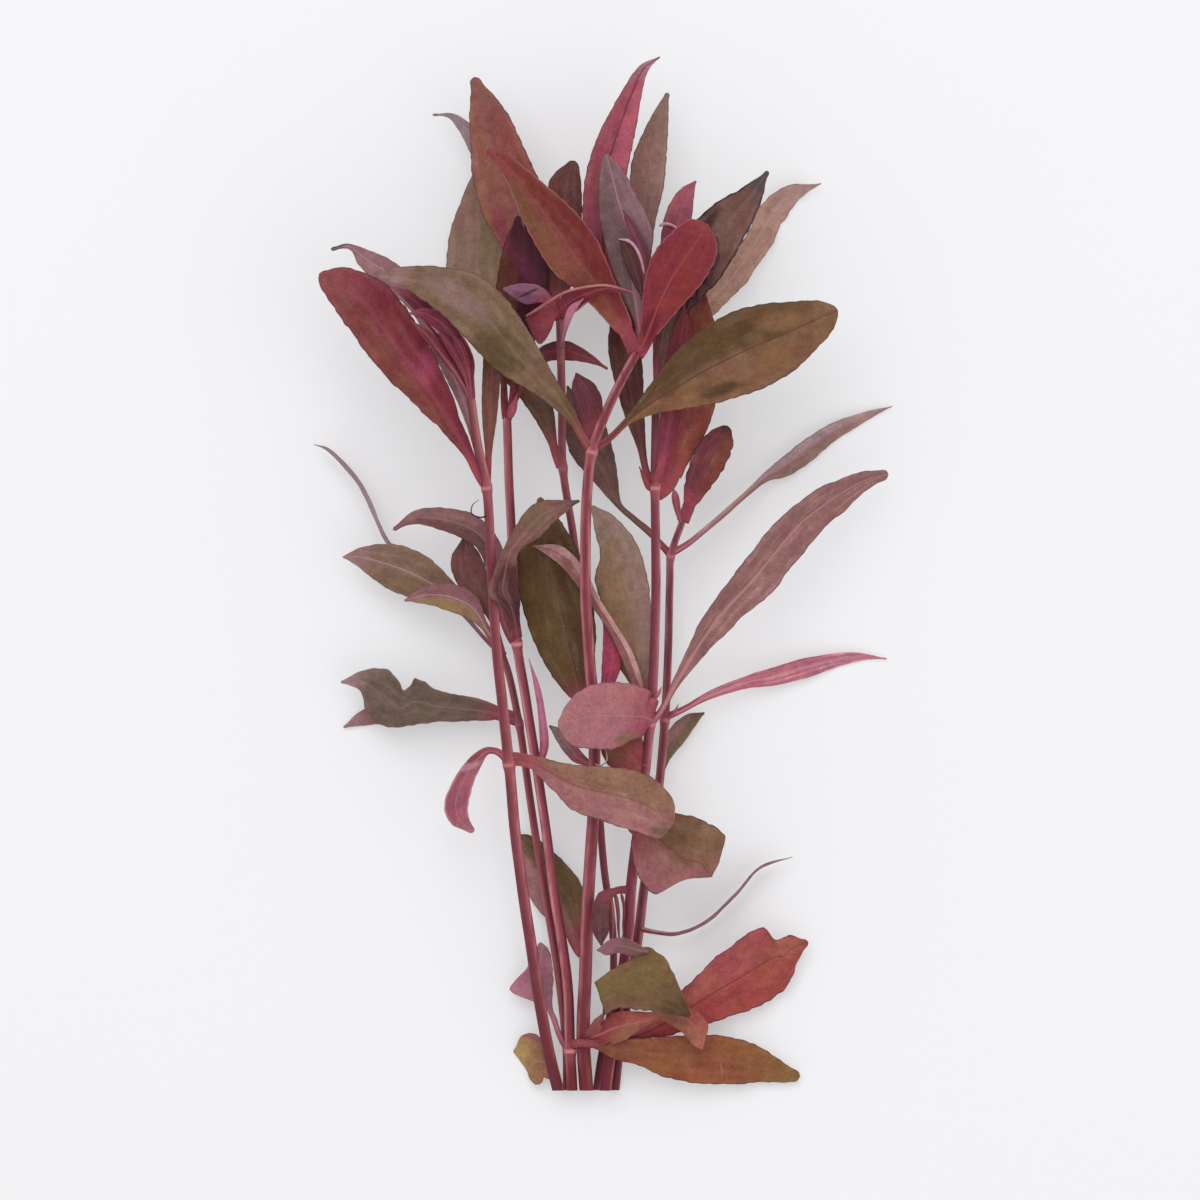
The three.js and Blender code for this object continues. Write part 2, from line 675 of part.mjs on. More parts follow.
  dark_right_leaf: {
    tone: "darkBrown",
    base: [15, 174.2, 28.4],
    tip: [42, 230, 31],
    left: [[14.6, 184, 29.4], [17, 198, 31], [20, 211, 32], [26.25, 220, 32.6], [35, 225.6, 32.4]],
    right: [
      [17.6, 184, 29], [22.4, 195, 29.2], [29.5, 202.6, 29.6], [35, 211.5, 29.8],
      [40, 221.75, 30.4],
    ],
    crease: 0.9,
  },
  tan_right_leaf: {
    tone: "tan",
    base: [15.2, 173.8, 25.2],
    tip: [55.5, 227.5, 4],
    left: [
      [17.6, 185, 18.8], [22.6, 196, 13], [31, 206, 8.6], [35, 211.6, 7.4], [41.25, 223, 6],
      [46.25, 226.6, 5.2],
    ],
    right: [
      [19.8, 184, 17.4], [27.2, 193, 9.6], [36.25, 202.25, 4.2], [42.5, 211.25, 1.8],
      [48.75, 222.25, 0.5],
    ],
    crease: 0.8,
  },
  dark_crimson_leaf: {
    tone: "crimson",
    base: [21.4, 144.2, 17],
    tip: [32, 166.5, 24],
    left: [[20.9, 148, 18.4], [21.5, 154, 20.2], [25, 162.5, 23.6], [28, 165.4, 24.2]],
    right: [[23, 145.4, 17.8], [27, 150.2, 19.4], [31, 156, 21.4], [33.25, 162, 23]],
    crease: 0.6,
  },
  narrow_right_leaf: {
    tone: "mauve",
    base: [19.9, 135.2, 15],
    tip: [73.3, 171.6, 1],
    left: [
      [30, 144.5, 11], [36, 149.8, 8.4], [43.5, 157, 6], [50, 162.2, 4.6], [57, 166.8, 3.4],
      [67, 170.4, 1.8],
    ],
    right: [
      [31, 143.7, 10.2], [37, 149, 7.2], [42, 152.7, 4.6], [46.3, 153.8, 3],
      [51.5, 156.6, 1.8], [58, 162.2, 0.8], [68, 168.6, 0.5],
    ],
    crease: 0.4,
  },
};

// Small young leaves are one piece with what they grow from. Each lot is joined to the stem that it names, or
// stands as a tuft of its own at a stem's end.
const YOUNG = {
  left_young_tuft: {
    tone: "crimson",
    leaves: [
      {
        base: [-32.4, 175.2, 35.6], tip: [-47.9, 194.4, 38.2], crease: 0.4,
        left: [[-34.6, 181, 36.2], [-39, 187.8, 37.2], [-44, 192.7, 37.8]],
        right: [[-31.2, 182, 37.2], [-34, 188.8, 38.2], [-38.25, 193.9, 38.8], [-43.75, 195.7, 38.8]],
      },
      {
        base: [-33, 175.2, 34.8], tip: [-53, 201.6, 34.4], crease: 0.3,
        left: [[-38, 184, 34.4], [-43, 191.5, 34.2], [-48.5, 197.6, 34.2]],
        right: [[-36.4, 187, 35], [-41, 195, 35.2], [-47, 199.9, 35]],
      },
      {
        base: [-33, 175, 35.4], tip: [-47.4, 193, 36.4], crease: 0.2,
        left: [[-38.2, 181.3, 36], [-43.4, 187.4, 36.2]],
        right: [[-36.8, 182.4, 36.2], [-41.9, 189.4, 36.4]],
      },
    ],
  },
  middle_young_tuft: {
    tone: "crimson",
    leaves: [
      {
        base: [-10.4, 195.4, 29.9], tip: [-18.4, 193.6, 31.4], crease: 0.3,
        left: [[-12.6, 189.6, 29.4], [-15, 186.8, 29.8], [-17.4, 190.2, 30.8]],
        right: [[-13.2, 196.6, 31], [-16, 195.5, 31.6]],
      },
      {
        base: [-10.4, 195.4, 29.9], tip: [8.4, 199.4, 38.8], crease: 0.2,
        left: [[-9.5, 199.4, 34.4], [-6.2, 200.7, 37.8], [1.2, 201.8, 39.4], [6.4, 200.6, 39.2]],
        right: [[-6.6, 194.6, 33], [-3, 197, 36.4], [1.6, 199.6, 38.6], [5.4, 199.6, 38.8]],
      },
      {
        base: [-10.4, 195.4, 29.9], tip: [-24.3, 200.6, 35], crease: 0.3,
        left: [[-14.2, 196.6, 31.8], [-18.6, 195.8, 33.2], [-21.6, 197.8, 34.2]],
        right: [[-13.8, 200.8, 32.6], [-17.5, 202.2, 34], [-21.2, 201.8, 34.8]],
      },
    ],
  },
  rear_left_stem: {
    leaves: [
      {
        base: [-22.8, 168.6, 23], tip: [2, 180.7, 20.8], crease: 0.4,
        left: [[-19.4, 178.6, 20.6], [-14.9, 186.2, 20.8], [-8.75, 187.8, 20.8], [-3.75, 185.6, 20.8]],
        right: [[-18.4, 177, 20.4], [-13.4, 182.4, 20.2], [-7, 182.8, 20], [-2, 182, 20.2]],
      },
      {
        base: [-15.9, 79.6, 14.2], tip: [-17.8, 108.4, 19.8], crease: 0.2,
        left: [[-15.1, 86, 16.8], [-15.7, 96, 18.6], [-17, 104, 19.6]],
        right: [[-12.9, 86, 17.2], [-13.6, 94, 18.8], [-14.9, 101, 19.6]],
      },
    ],
  },
  centre_stem: {
    leaves: [
      {
        base: [-2.2, 160.8, 28.8], tip: [-6, 179.8, 24.6], crease: 0.5,
        left: [[-4.6, 166.4, 26.4], [-6.4, 171.6, 25.4], [-7.1, 176.4, 24.8]],
        right: [[-0.6, 166.4, 26.6], [0.7, 172, 26], [-1.4, 177, 25.2]],
      },
      {
        base: [-1.4, 95.4, 21.8], tip: [0.8, 118, 18.2], crease: 0.3,
        left: [[0.1, 100.4, 19.4], [0.4, 106, 18.4], [0.7, 112, 18.2]],
        right: [[3.4, 101.6, 19], [5.2, 106.6, 18.2], [4.4, 112, 18]],
      },
      {
        base: [-1.8, 81.6, 19], tip: [-12.8, 91.6, 14.8], crease: 0.3,
        left: [[-6.5, 82.4, 17], [-10.4, 87, 15.6]],
        right: [[-5.4, 86, 17.4], [-9.4, 90.8, 16]],
      },
    ],
  },
  right_stem: {
    leaves: [
      {
        base: [14, 172.2, 27.4], tip: [24, 227.75, 25.4], crease: 0.5,
        left: [
          [13.2, 185, 27.6], [13.8, 200, 27.6], [15.3, 214, 27], [16.5, 220, 26.6],
          [20, 225.6, 26],
        ],
        right: [[15.6, 185, 26.8], [19.6, 200, 26.6], [22.4, 213, 26], [23.2, 221, 25.6]],
      },
      {
        base: [11, 79.4, 17.4], tip: [0.6, 89.8, 21], crease: 0.3,
        left: [[6.6, 80.2, 18.4], [2.2, 81.6, 19.6], [0.4, 85, 20.4]],
        right: [[11.2, 84.6, 18.6], [9.8, 90.6, 19.6], [5, 93.4, 20.4]],
      },
      {
        base: [13.4, 150.4, 25.4], tip: [9.75, 156.4, 26.4], crease: 0.1,
        left: [[11.9, 150.4, 26], [10.6, 153, 26.4]],
        right: [[12.7, 151.4, 26.2], [11.3, 154.2, 26.6]],
      },
    ],
  },
  far_right_stem: {
    leaves: [
      {
        base: [14.2, 71, 7.4], tip: [26.25, 94.75, 4.4], crease: 0.4,
        left: [[13.9, 77, 5.8], [15, 84, 4.8], [17.4, 90.6, 4.4], [22, 94.4, 4.4]],
        right: [[15.1, 76.8, 5.6], [17.6, 83, 4.2], [21.25, 87.5, 3.6], [24.4, 92, 3.8]],
      },
      {
        base: [20.4, 141.8, 16.2], tip: [18.3, 151, 19.4], crease: 0.2,
        left: [[18.9, 144.6, 17.4], [17.9, 148.6, 18.6]],
        right: [[20.2, 145.6, 17.8], [19.6, 149.4, 19]],
      },
    ],
  },
};

const vector = (p) => new THREE.Vector3(...p);

function smoothLine(points) {
  return new THREE.CatmullRomCurve3(points.map(vector), false, "centripetal");
}

// A closed body through a row of rings, each a loop of the same number of points.
function loft(rings) {
  const sides = rings[0].length;
  const middleOf = (ring) => ring.reduce((sum, p) => sum.add(p), new THREE.Vector3()).divideScalar(sides);
  const corners = [...rings.flat(), middleOf(rings[0]), middleOf(rings.at(-1))];
  const foot = corners.length - 2;
  const head = corners.length - 1;
  const faces = [];
  for (let side = 0; side < sides; side++) {
    const next = (side + 1) % sides;
    for (let ring = 0; ring < rings.length - 1; ring++) {
      const here = ring * sides;
      const above = here + sides;
      faces.push(here + side, here + next, above + next, here + side, above + next, above + side);
    }
    const last = (rings.length - 1) * sides;
    faces.push(foot, next, side, head, last + side, last + next);
  }
  if (signedVolume(corners, faces) < 0) faces.reverse();
  const geometry = new THREE.BufferGeometry().setFromPoints(corners);
  geometry.setIndex(faces);
  return geometry;
}

function signedVolume(corners, faces) {
  let sum = 0;
  for (let i = 0; i < faces.length; i += 3) {
    const [a, b, c] = [corners[faces[i]], corners[faces[i + 1]], corners[faces[i + 2]]];
    sum += a.dot(new THREE.Vector3().crossVectors(b, c));
  }
  return sum / 6;
}

// Where a stem has its rings, counted in points of its list: at each point, at both ends of a node's
// swelling, and halfway along a long stretch. Each place also says if it is the middle of a node.
function ringPlaces(points, nodes) {
  const places = [];
  points.forEach((point, i) => {
    const step = i < points.length - 1 ? vector(point).distanceTo(vector(points[i + 1])) : Infinity;
    const before = i > 0 ? vector(point).distanceTo(vector(points[i - 1])) : Infinity;
    const swelling = [[i - NODE_REACH / before, false], [i, true], [i + NODE_REACH / step, false]];
    places.push(...(nodes.includes(i) ? swelling : [[i, false]]));
    if (Number.isFinite(step) && step > LONGEST_STEP) places.push([i + 0.5, false]);
  });
  return places;
}

function stemGeometry({ points, nodes, radius: [foot, top] }) {
  const line = smoothLine(points);
  const last = points.length - 1;
  const rings = ringPlaces(points, nodes).map(([place, atNode]) => {
    const share = place / last;
    const middle = line.getPoint(share);
    const along = line.getTangent(share);
    const across = new THREE.Vector3(0, 0, 1).cross(along).normalize();
    const up = new THREE.Vector3().crossVectors(along, across);
    const size = THREE.MathUtils.lerp(foot, top, share) * (atNode ? NODE_SWELL : 1);
    return Array.from({ length: STEM_SIDES }, (_, side) => {
      const angle = (side / STEM_SIDES) * 2 * Math.PI;
      const corner = middle
        .clone()
        .addScaledVector(across, Math.cos(angle) * size)
        .addScaledVector(up, Math.sin(angle) * size);
      if (place === 0) corner.addScaledVector(along, -corner.y / along.y); // the cut is flat
      return corner;
    });
  });
  return loft(rings);
}

// The directions across a leaf at each step, from its left edge to its right. Where the blade is too narrow
// to have one, it is that of the nearest step where it is wide enough.
function acrossLeaf(lefts, rights) {
  const own = lefts.map((left, i) => rights[i].clone().sub(left));
  const wide = own.map((gap) => gap.length() > 2 * NARROW);
  return own.map((gap, i) => {
    let nearest = i;
    own.forEach((_, j) => {
      const closer = !wide[nearest] || Math.abs(j - i) < Math.abs(nearest - i);
      if (wide[j] && closer) nearest = j;
    });
    return own[wide[i] ? i : nearest].clone().normalize();
  });
}

function leafGeometry({ base, tip, left, right, crease }) {
  const points = Math.max(left.length, right.length);
  const steps = THREE.MathUtils.clamp(points + 1, ...LEAF_STEPS);
  const shares = Array.from({ length: steps + 1 }, (_, i) => 1 - (1 - i / steps) ** TIP_CROWDING);
  const leftLine = smoothLine([base, ...left, tip]);
  const rightLine = smoothLine([base, ...right, tip]);
  const lefts = shares.map((share) => leftLine.getPointAt(share));
  const rights = shares.map((share) => rightLine.getPointAt(share));
  const middles = lefts.map((p, i) => p.clone().lerp(rights[i], 0.5));
  const across = acrossLeaf(lefts, rights);
  const widest = Math.max(...lefts.map((p, i) => p.distanceTo(rights[i]) / 2));
  const rings = shares.map((share, i) => {
    const ahead = middles[Math.min(i + 1, steps)];
    const behind = middles[Math.max(i - 1, 0)];
    const along = ahead.clone().sub(behind).normalize();
    const normal = new THREE.Vector3().crossVectors(across[i], along).normalize();
    const least = THREE.MathUtils.lerp(PETIOLE_HALF, TIP_HALF, share);
    const own = lefts[i].distanceTo(rights[i]) / 2;
    const half = Math.max(own, least);
    const broad = THREE.MathUtils.smoothstep(half, PETIOLE_HALF, PETIOLE_HALF * 4);
    const end = THREE.MathUtils.lerp(PETIOLE_THICK, TIP_THICK, share);
    const ribThick = THREE.MathUtils.lerp(end, RIB_THICK, broad);
    const bladeThick = THREE.MathUtils.lerp(end * 0.8, BLADE_THICK, broad);
    const sink = crease * (own / widest);
    const place = (side, depth) =>
      middles[i].clone().addScaledVector(across[i], side * half).addScaledVector(normal, depth);
    return [
      place(-1, 0),
      place(-0.5, -sink * 0.45 - bladeThick / 2),
      place(0, -sink - ribThick / 2),
      place(0.5, -sink * 0.45 - bladeThick / 2),
      place(1, 0),
      place(0.5, -sink * 0.45 + bladeThick / 2),
      place(0, -sink + ribThick / 2),
      place(-0.5, -sink * 0.45 + bladeThick / 2),
    ];
  });
  return loft(rings);
}

function solidOf(geometry) {
  return new wasm.Manifold(
    new wasm.Mesh({
      numProp: 3,
      vertProperties: geometry.getAttribute("position").array,
      triVerts: new Uint32Array(geometry.index.array),
    }),
  );
}

function joined(geometries) {
  const merged = geometries.map((geometry) => BufferGeometryUtils.mergeVertices(geometry));
  const whole = merged.map(solidOf).reduce((sum, next) => sum.add(next));
  const mesh = whole.getMesh();
  const geometry = new THREE.BufferGeometry();
  geometry.setAttribute("position", new THREE.BufferAttribute(mesh.vertProperties, 3));
  geometry.setIndex(new THREE.BufferAttribute(mesh.triVerts, 1));
  return geometry;
}

function addPiece(plant, name, tone, geometry) {
  const material = new THREE.MeshStandardMaterial({
    color: TONES[tone],
    roughness: 0.5,
    metalness: 0,
    side: THREE.DoubleSide,
  });
  const mesh = new THREE.Mesh(geometry, material);
  mesh.name = name;
  plant.add(mesh);
}

const plant = new THREE.Group();
plant.position.set(-MIDDLE[0], -MIDDLE[1], -MIDDLE[2]);

for (const [name, stem] of Object.entries(STEMS)) {
  const young = YOUNG[name]?.leaves ?? [];
  const pieces = [stemGeometry(stem), ...young.map(leafGeometry)];
  addPiece(plant, name, stem.tone, pieces.length > 1 ? joined(pieces) : pieces[0]);
}
for (const [name, leaf] of Object.entries(LEAVES)) {
  addPiece(plant, name, leaf.tone, leafGeometry(leaf));
}
for (const [name, tuft] of Object.entries(YOUNG)) {
  if (name in STEMS) continue;
  addPiece(plant, name, tuft.tone, joined(tuft.leaves.map(leafGeometry)));
}

const root = new THREE.Group();
root.add(plant);

export default root;
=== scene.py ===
"""Sessile joyweed: seven jointed stems and their leaves, cut off flat at the foot and laid down.

Lists of points are in millimetres with Y = 0 at the cut feet, and MIDDLE brings them into the row frame.
Every other length is in millimetres too, but for the studio's, which are in metres.
Colours are numbers such as 0xA06450: red, green and blue, as a screen shows them.
"""

import logging
import math
import zlib
from collections.abc import Sequence
from dataclasses import dataclass
from enum import Enum

import bpy
import numpy as np
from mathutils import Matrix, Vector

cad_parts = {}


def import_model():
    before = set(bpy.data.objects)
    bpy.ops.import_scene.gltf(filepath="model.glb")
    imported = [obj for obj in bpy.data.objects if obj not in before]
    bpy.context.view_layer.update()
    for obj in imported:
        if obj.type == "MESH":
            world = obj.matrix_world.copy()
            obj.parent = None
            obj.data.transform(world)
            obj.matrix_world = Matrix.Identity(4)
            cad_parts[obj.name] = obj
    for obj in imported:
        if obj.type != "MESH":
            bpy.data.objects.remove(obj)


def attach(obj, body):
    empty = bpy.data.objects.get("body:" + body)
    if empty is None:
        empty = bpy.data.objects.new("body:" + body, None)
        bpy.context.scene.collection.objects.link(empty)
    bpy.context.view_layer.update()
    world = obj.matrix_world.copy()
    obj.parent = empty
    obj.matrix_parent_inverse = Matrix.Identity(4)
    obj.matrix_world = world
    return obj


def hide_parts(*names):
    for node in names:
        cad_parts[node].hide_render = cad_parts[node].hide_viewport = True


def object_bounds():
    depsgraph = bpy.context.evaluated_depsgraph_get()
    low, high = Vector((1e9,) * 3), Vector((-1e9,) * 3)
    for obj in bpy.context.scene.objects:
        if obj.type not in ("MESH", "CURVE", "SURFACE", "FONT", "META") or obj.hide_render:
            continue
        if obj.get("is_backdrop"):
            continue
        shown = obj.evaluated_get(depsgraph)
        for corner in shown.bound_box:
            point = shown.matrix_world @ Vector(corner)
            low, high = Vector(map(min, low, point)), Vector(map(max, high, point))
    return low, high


Array = np.ndarray
Point = tuple[float, float, float]
Rgb = int

MM = 0.001
MIDDLE = np.array((0.75, 129.4, 0.3))
BODY = "root"

log = logging.getLogger("sessile_joyweed")


class Slot(Enum):
    """The record's material slots."""

    OLIVE = "olive_leaf"
    OLIVE_BROWN = "olive_brown_leaf"
    TAN = "tan_leaf"
    RED_BROWN = "red_brown_leaf"
    DARK_BROWN = "dark_brown_leaf"
    CRIMSON = "crimson_leaf"
    MAGENTA = "magenta_leaf"
    PURPLE = "purple_leaf"
    MAUVE = "mauve_leaf"
    PINK = "pink_leaf"
    ORANGE_BROWN = "orange_brown_leaf"
    SALMON = "salmon_leaf"
    MUSTARD = "mustard_leaf"
    RED_STEM = "red_stem"
    DARK_STEM = "dark_stem"


def linear(colour: Rgb) -> tuple[float, float, float, float]:
    """The colour that a shader takes. Args: colour: As a screen shows it. Returns: It, linear, alpha 1."""
    shares = [(colour >> bits & 255) / 255 for bits in (16, 8, 0)]
    red, green, blue = (s / 12.92 if s <= 0.04045 else ((s + 0.055) / 1.055) ** 2.4 for s in shares)
    return red, green, blue, 1.0


def ease(values: Array | float, low: float, high: float) -> Array:
    """A smooth step. Args: values: To read it at. low, high: Where it is 0 and 1. Returns: 0 to 1 at each."""
    share = np.clip((np.asarray(values, float) - low) / (high - low), 0.0, 1.0)
    return share * share * (3.0 - 2.0 * share)


def unit(vectors: Array) -> Array:
    """Vectors at length 1. Args: vectors: Rows of three. Returns: The same directions."""
    lengths = np.linalg.norm(vectors, axis=-1, keepdims=True)
    return vectors / np.maximum(lengths, 1e-9)


class SmoothLine:
    """A centripetal line through points, the same as the solids have along their stems and edges."""

    SAMPLES = 400
    LEAST = 1e-4

    def __init__(self, points: Sequence[Point]) -> None:
        """Takes the points and measures the line. Args: points: What it passes through, in millimetres."""
        own = np.array(points, float)
        self.padded = np.vstack((2 * own[0] - own[1], own, 2 * own[-1] - own[-2]))
        self.spans = len(own) - 1
        self.places = np.linspace(0.0, 1.0, self.SAMPLES + 1)
        steps = np.linalg.norm(np.diff(self.at(self.places), axis=0), axis=1)
        self.lengths = np.concatenate(((0.0,), np.cumsum(steps)))

    @property
    def length(self) -> float:
        """The whole length in millimetres."""
        return float(self.lengths[-1])

    def at(self, places: Array) -> Array:
        """Points of the line. Args: places: 0 to 1, in even steps from point to point. Returns: Rows of X, Y, Z."""
        spots = np.clip(np.asarray(places, float), 0.0, 1.0) * self.spans
        index = np.minimum(spots.astype(int), self.spans - 1)
        w = (spots - index)[:, None]
        p0, p1, p2, p3 = (self.padded[index + k] for k in range(4))
        d0, d1, d2 = (
            np.sqrt(np.linalg.norm(end - start, axis=1, keepdims=True))
            for start, end in ((p0, p1), (p1, p2), (p2, p3))
        )
        d1 = np.where(d1 < self.LEAST, 1.0, d1)
        d0, d2 = (np.where(d < self.LEAST, d1, d) for d in (d0, d2))
        t1 = ((p1 - p0) / d0 - (p2 - p0) / (d0 + d1) + (p2 - p1) / d1) * d1
        t2 = ((p2 - p1) / d1 - (p3 - p1) / (d1 + d2) + (p3 - p2) / d2) * d1
        bend = -3 * p1 + 3 * p2 - 2 * t1 - t2
        turn = 2 * p1 - 2 * p2 + t1 + t2
        return p1 + t1 * w + bend * w**2 + turn * w**3

    def along(self, shares: Array) -> Array:
        """Points at shares of the length. Args: shares: 0 to 1. Returns: One row of X, Y and Z each."""
        return self.at(np.interp(np.asarray(shares) * self.length, self.lengths, self.places))


def tube(middles: Array, across: Array, up: Array, size: Array) -> Array:
    """Round rings along a line.

    Args:
        middles: The middle of each ring.
        across, up: Its two directions.
        size: The radius at each corner of each ring.

    Returns:
        The corners, ring by ring, in millimetres.
    """
    angles = rounds(size.shape[1])
    ring = np.cos(angles)[None, :, None] * across[:, None, :] + np.sin(angles)[None, :, None] * up[:, None, :]
    return middles[:, None, :] + size[:, :, None] * ring


def rounds(sides: int) -> Array:
    """The angles of a ring's corners. Args: sides: How many it has. Returns: Radians."""
    return np.arange(sides) / sides * 2 * np.pi


@dataclass
class Skin:
    """The rings of one closed mesh, with the values at each corner that its finish reads.

    Attributes:
        rings: Corners, ring by ring, in millimetres.
        values: Named values, one for each corner of each ring.
        ends: How far the corner in the middle of each end stands out from its ring, in millimetres.
    """

    rings: Array
    values: dict[str, Array]
    ends: tuple[float, float] = (0.0, 0.0)

    def faces(self) -> list[tuple[int, ...]]:
        """The faces between the rings and over the two ends. Returns: Corner numbers of each."""
        rows, sides = self.rings.shape[:2]
        foot, head = rows * sides, rows * sides + 1
        found: list[tuple[int, ...]] = []
        for side in range(sides):
            after = (side + 1) % sides
            for row in range(rows - 1):
                here, above = row * sides, (row + 1) * sides
                found.append((here + side, here + after, above + after, above + side))
            last = (rows - 1) * sides
            found.append((foot, after, side))
            found.append((head, last + side, last + after))
        return found

    def corners(self) -> Array:
        """Every corner, the two end ones last, in millimetres."""
        first, last = self.rings[0].mean(axis=0), self.rings[-1].mean(axis=0)
        out = unit(first - self.rings[1].mean(axis=0)), unit(last - self.rings[-2].mean(axis=0))
        tips = (first + out[0] * self.ends[0], last + out[1] * self.ends[1])
        return np.vstack((self.rings.reshape(-1, 3), *tips))

    def build(self, name: str) -> bpy.types.Object:
        """Makes the mesh, with its faces outward. Args: name: The piece's. Returns: The object, in the scene."""
        corners, faces = self.corners(), self.faces()
        fans = [(f[0], f[i], f[i + 1]) for f in faces for i in range(1, len(f) - 1)]
        a, b, c = (corners[np.array(fans)[:, k]] for k in range(3))
        if np.einsum("ij,ij->i", a, np.cross(b, c)).sum() < 0:
            faces = [tuple(reversed(f)) for f in faces]
        mesh = bpy.data.meshes.new(name)
        mesh.from_pydata(((corners - MIDDLE) * MM).tolist(), [], faces)
        for key, grid in self.values.items():
            ends = (grid[0].mean(), grid[-1].mean())
            layer = mesh.attributes.new(key, "FLOAT", "POINT")
            layer.data.foreach_set("value", np.append(grid.ravel(), ends).astype(np.float32))
        mesh.shade_smooth()
        mesh.validate()
        piece = bpy.data.objects.new(name, mesh)
        bpy.context.scene.collection.objects.link(piece)
        return piece


Socket = bpy.types.NodeSocket
Sockets = dict[str, Socket]


class Wiring:
    """Adds nodes to one tree and joins them, so that an effect reads as a short list of steps."""

    ROUGHNESS = 0.55

    def __init__(self, tree: bpy.types.NodeTree) -> None:
        """Takes the tree. Args: tree: A material's or a group's."""
        self.tree = tree

    def node(self, kind: str, inputs: dict | None = None, **settings: object) -> bpy.types.Node:
        """Adds a node.

        Args:
            kind: Its Blender type.
            inputs: Values or output sockets for its inputs, by name or number.
            **settings: Its own settings.

        Returns:
            The node.
        """
        made = self.tree.nodes.new(kind)
        for key, value in settings.items():
            setattr(made, key, value)
        for key, value in (inputs or {}).items():
            if isinstance(value, Socket):
                self.tree.links.new(value, made.inputs[key])
            else:
                made.inputs[key].default_value = value
        return made

    def maths(self, operation: str, *values: object) -> Socket:
        """One sum. Args: operation: Its name. *values: Numbers or sockets. Returns: The result."""
        return self.node("ShaderNodeMath", dict(enumerate(values)), operation=operation).outputs[0]

    def times(self, first: object, second: object) -> Socket:
        """A product. Args: first, second: Numbers or sockets. Returns: The product."""
        return self.maths("MULTIPLY", first, second)

    def plus(self, first: object, factor: object, more: object) -> Socket:
        """A product and a sum. Args: first, factor, more: Numbers or sockets. Returns: first * factor + more."""
        return self.maths("MULTIPLY_ADD", first, factor, more)

    def size(self, value: object) -> Socket:
        """A value without its sign. Args: value: A socket. Returns: Its size."""
        return self.maths("ABSOLUTE", value)

    def mix(self, share: object, first: object, second: object) -> Socket:
        """Two colours mixed. Args: share: Of the second. first, second: Colours or sockets. Returns: The colour."""
        return self.node("ShaderNodeMix", {0: share, 6: first, 7: second}, data_type="RGBA").outputs[2]

    def ease(self, value: object, low: object, high: object) -> Socket:
        """A smooth step. Args: value: What to read. low: Where it is 0. high: Where it is 1. Returns: The step."""
        made = self.node("ShaderNodeMapRange", {0: value, 1: low, 2: high}, interpolation_type="SMOOTHSTEP")
        return made.outputs[0]

    def stored(self, name: str) -> Socket:
        """A value that the mesh holds. Args: name: Its name. Returns: The number."""
        return self.node("ShaderNodeAttribute", attribute_name=name).outputs["Fac"]

    def place_mm(self) -> Socket:
        """Where the surface is, in millimetres from the row's origin. Returns: A vector."""
        place = self.node("ShaderNodeTexCoord").outputs["Object"]
        return self.node("ShaderNodeVectorMath", {0: place, 3: 1 / MM}, operation="SCALE").outputs[0]

    def noise(self, place: Socket, size: float, detail: float = 2.0) -> Socket:
        """Cloudy noise. Args: place: Where. size: Of one cloud, in mm. detail: Octaves. Returns: 0 to 1."""
        inputs = {"Vector": place, "Scale": 1 / size, "Detail": detail, "Roughness": self.ROUGHNESS}
        return self.node("ShaderNodeTexNoise", inputs).outputs[0]

    def cloud(self, place: Socket, size: float, detail: float = 2.0) -> Socket:
        """The same noise round 0. Args: place, size, detail: As for noise. Returns: -0.5 to 0.5."""
        return self.maths("SUBTRACT", self.noise(place, size, detail), 0.5)


class Effect:
    """A shader node group that is built once and then placed in each material with its own values."""

    name: str
    inputs: dict[str, object]
    outputs: dict[str, str]

    KINDS = {float: "NodeSocketFloat", tuple: "NodeSocketColor"}

    def __init__(self) -> None:
        """Builds the group with its named inputs and outputs."""
        self.group = bpy.data.node_groups.new(self.name, "ShaderNodeTree")
        for key, value in self.inputs.items():
            socket = self.group.interface.new_socket(key, in_out="INPUT", socket_type=self.KINDS[type(value)])
            socket.default_value = value
        for key, kind in self.outputs.items():
            self.group.interface.new_socket(key, in_out="OUTPUT", socket_type=kind)
        w = Wiring(self.group)
        taken = self.group.nodes.new("NodeGroupInput").outputs
        given = self.group.nodes.new("NodeGroupOutput")
        for key, socket in self.work(w, taken).items():
            self.group.links.new(socket, given.inputs[key])

    def work(self, w: Wiring, taken: Sockets) -> Sockets:
        """The group's own nodes. Args: w: Adds them. taken: The inputs. Returns: The outputs by name."""
        raise NotImplementedError

    def place(self, w: Wiring, **values: object) -> bpy.types.NodeOutputs:
        """Puts the group in a material.

        Args:
            w: The material's.
            **values: Numbers, colours or sockets, by the input's name with _ for a space.

        Returns:
            The group's outputs.
        """
        inputs = {key.replace("_", " "): value for key, value in values.items()}
        return w.node("ShaderNodeGroup", inputs, node_tree=self.group).outputs


COLOUR, NUMBER = "NodeSocketColor", "NodeSocketFloat"
BLACK = (0.0, 0.0, 0.0, 1.0)


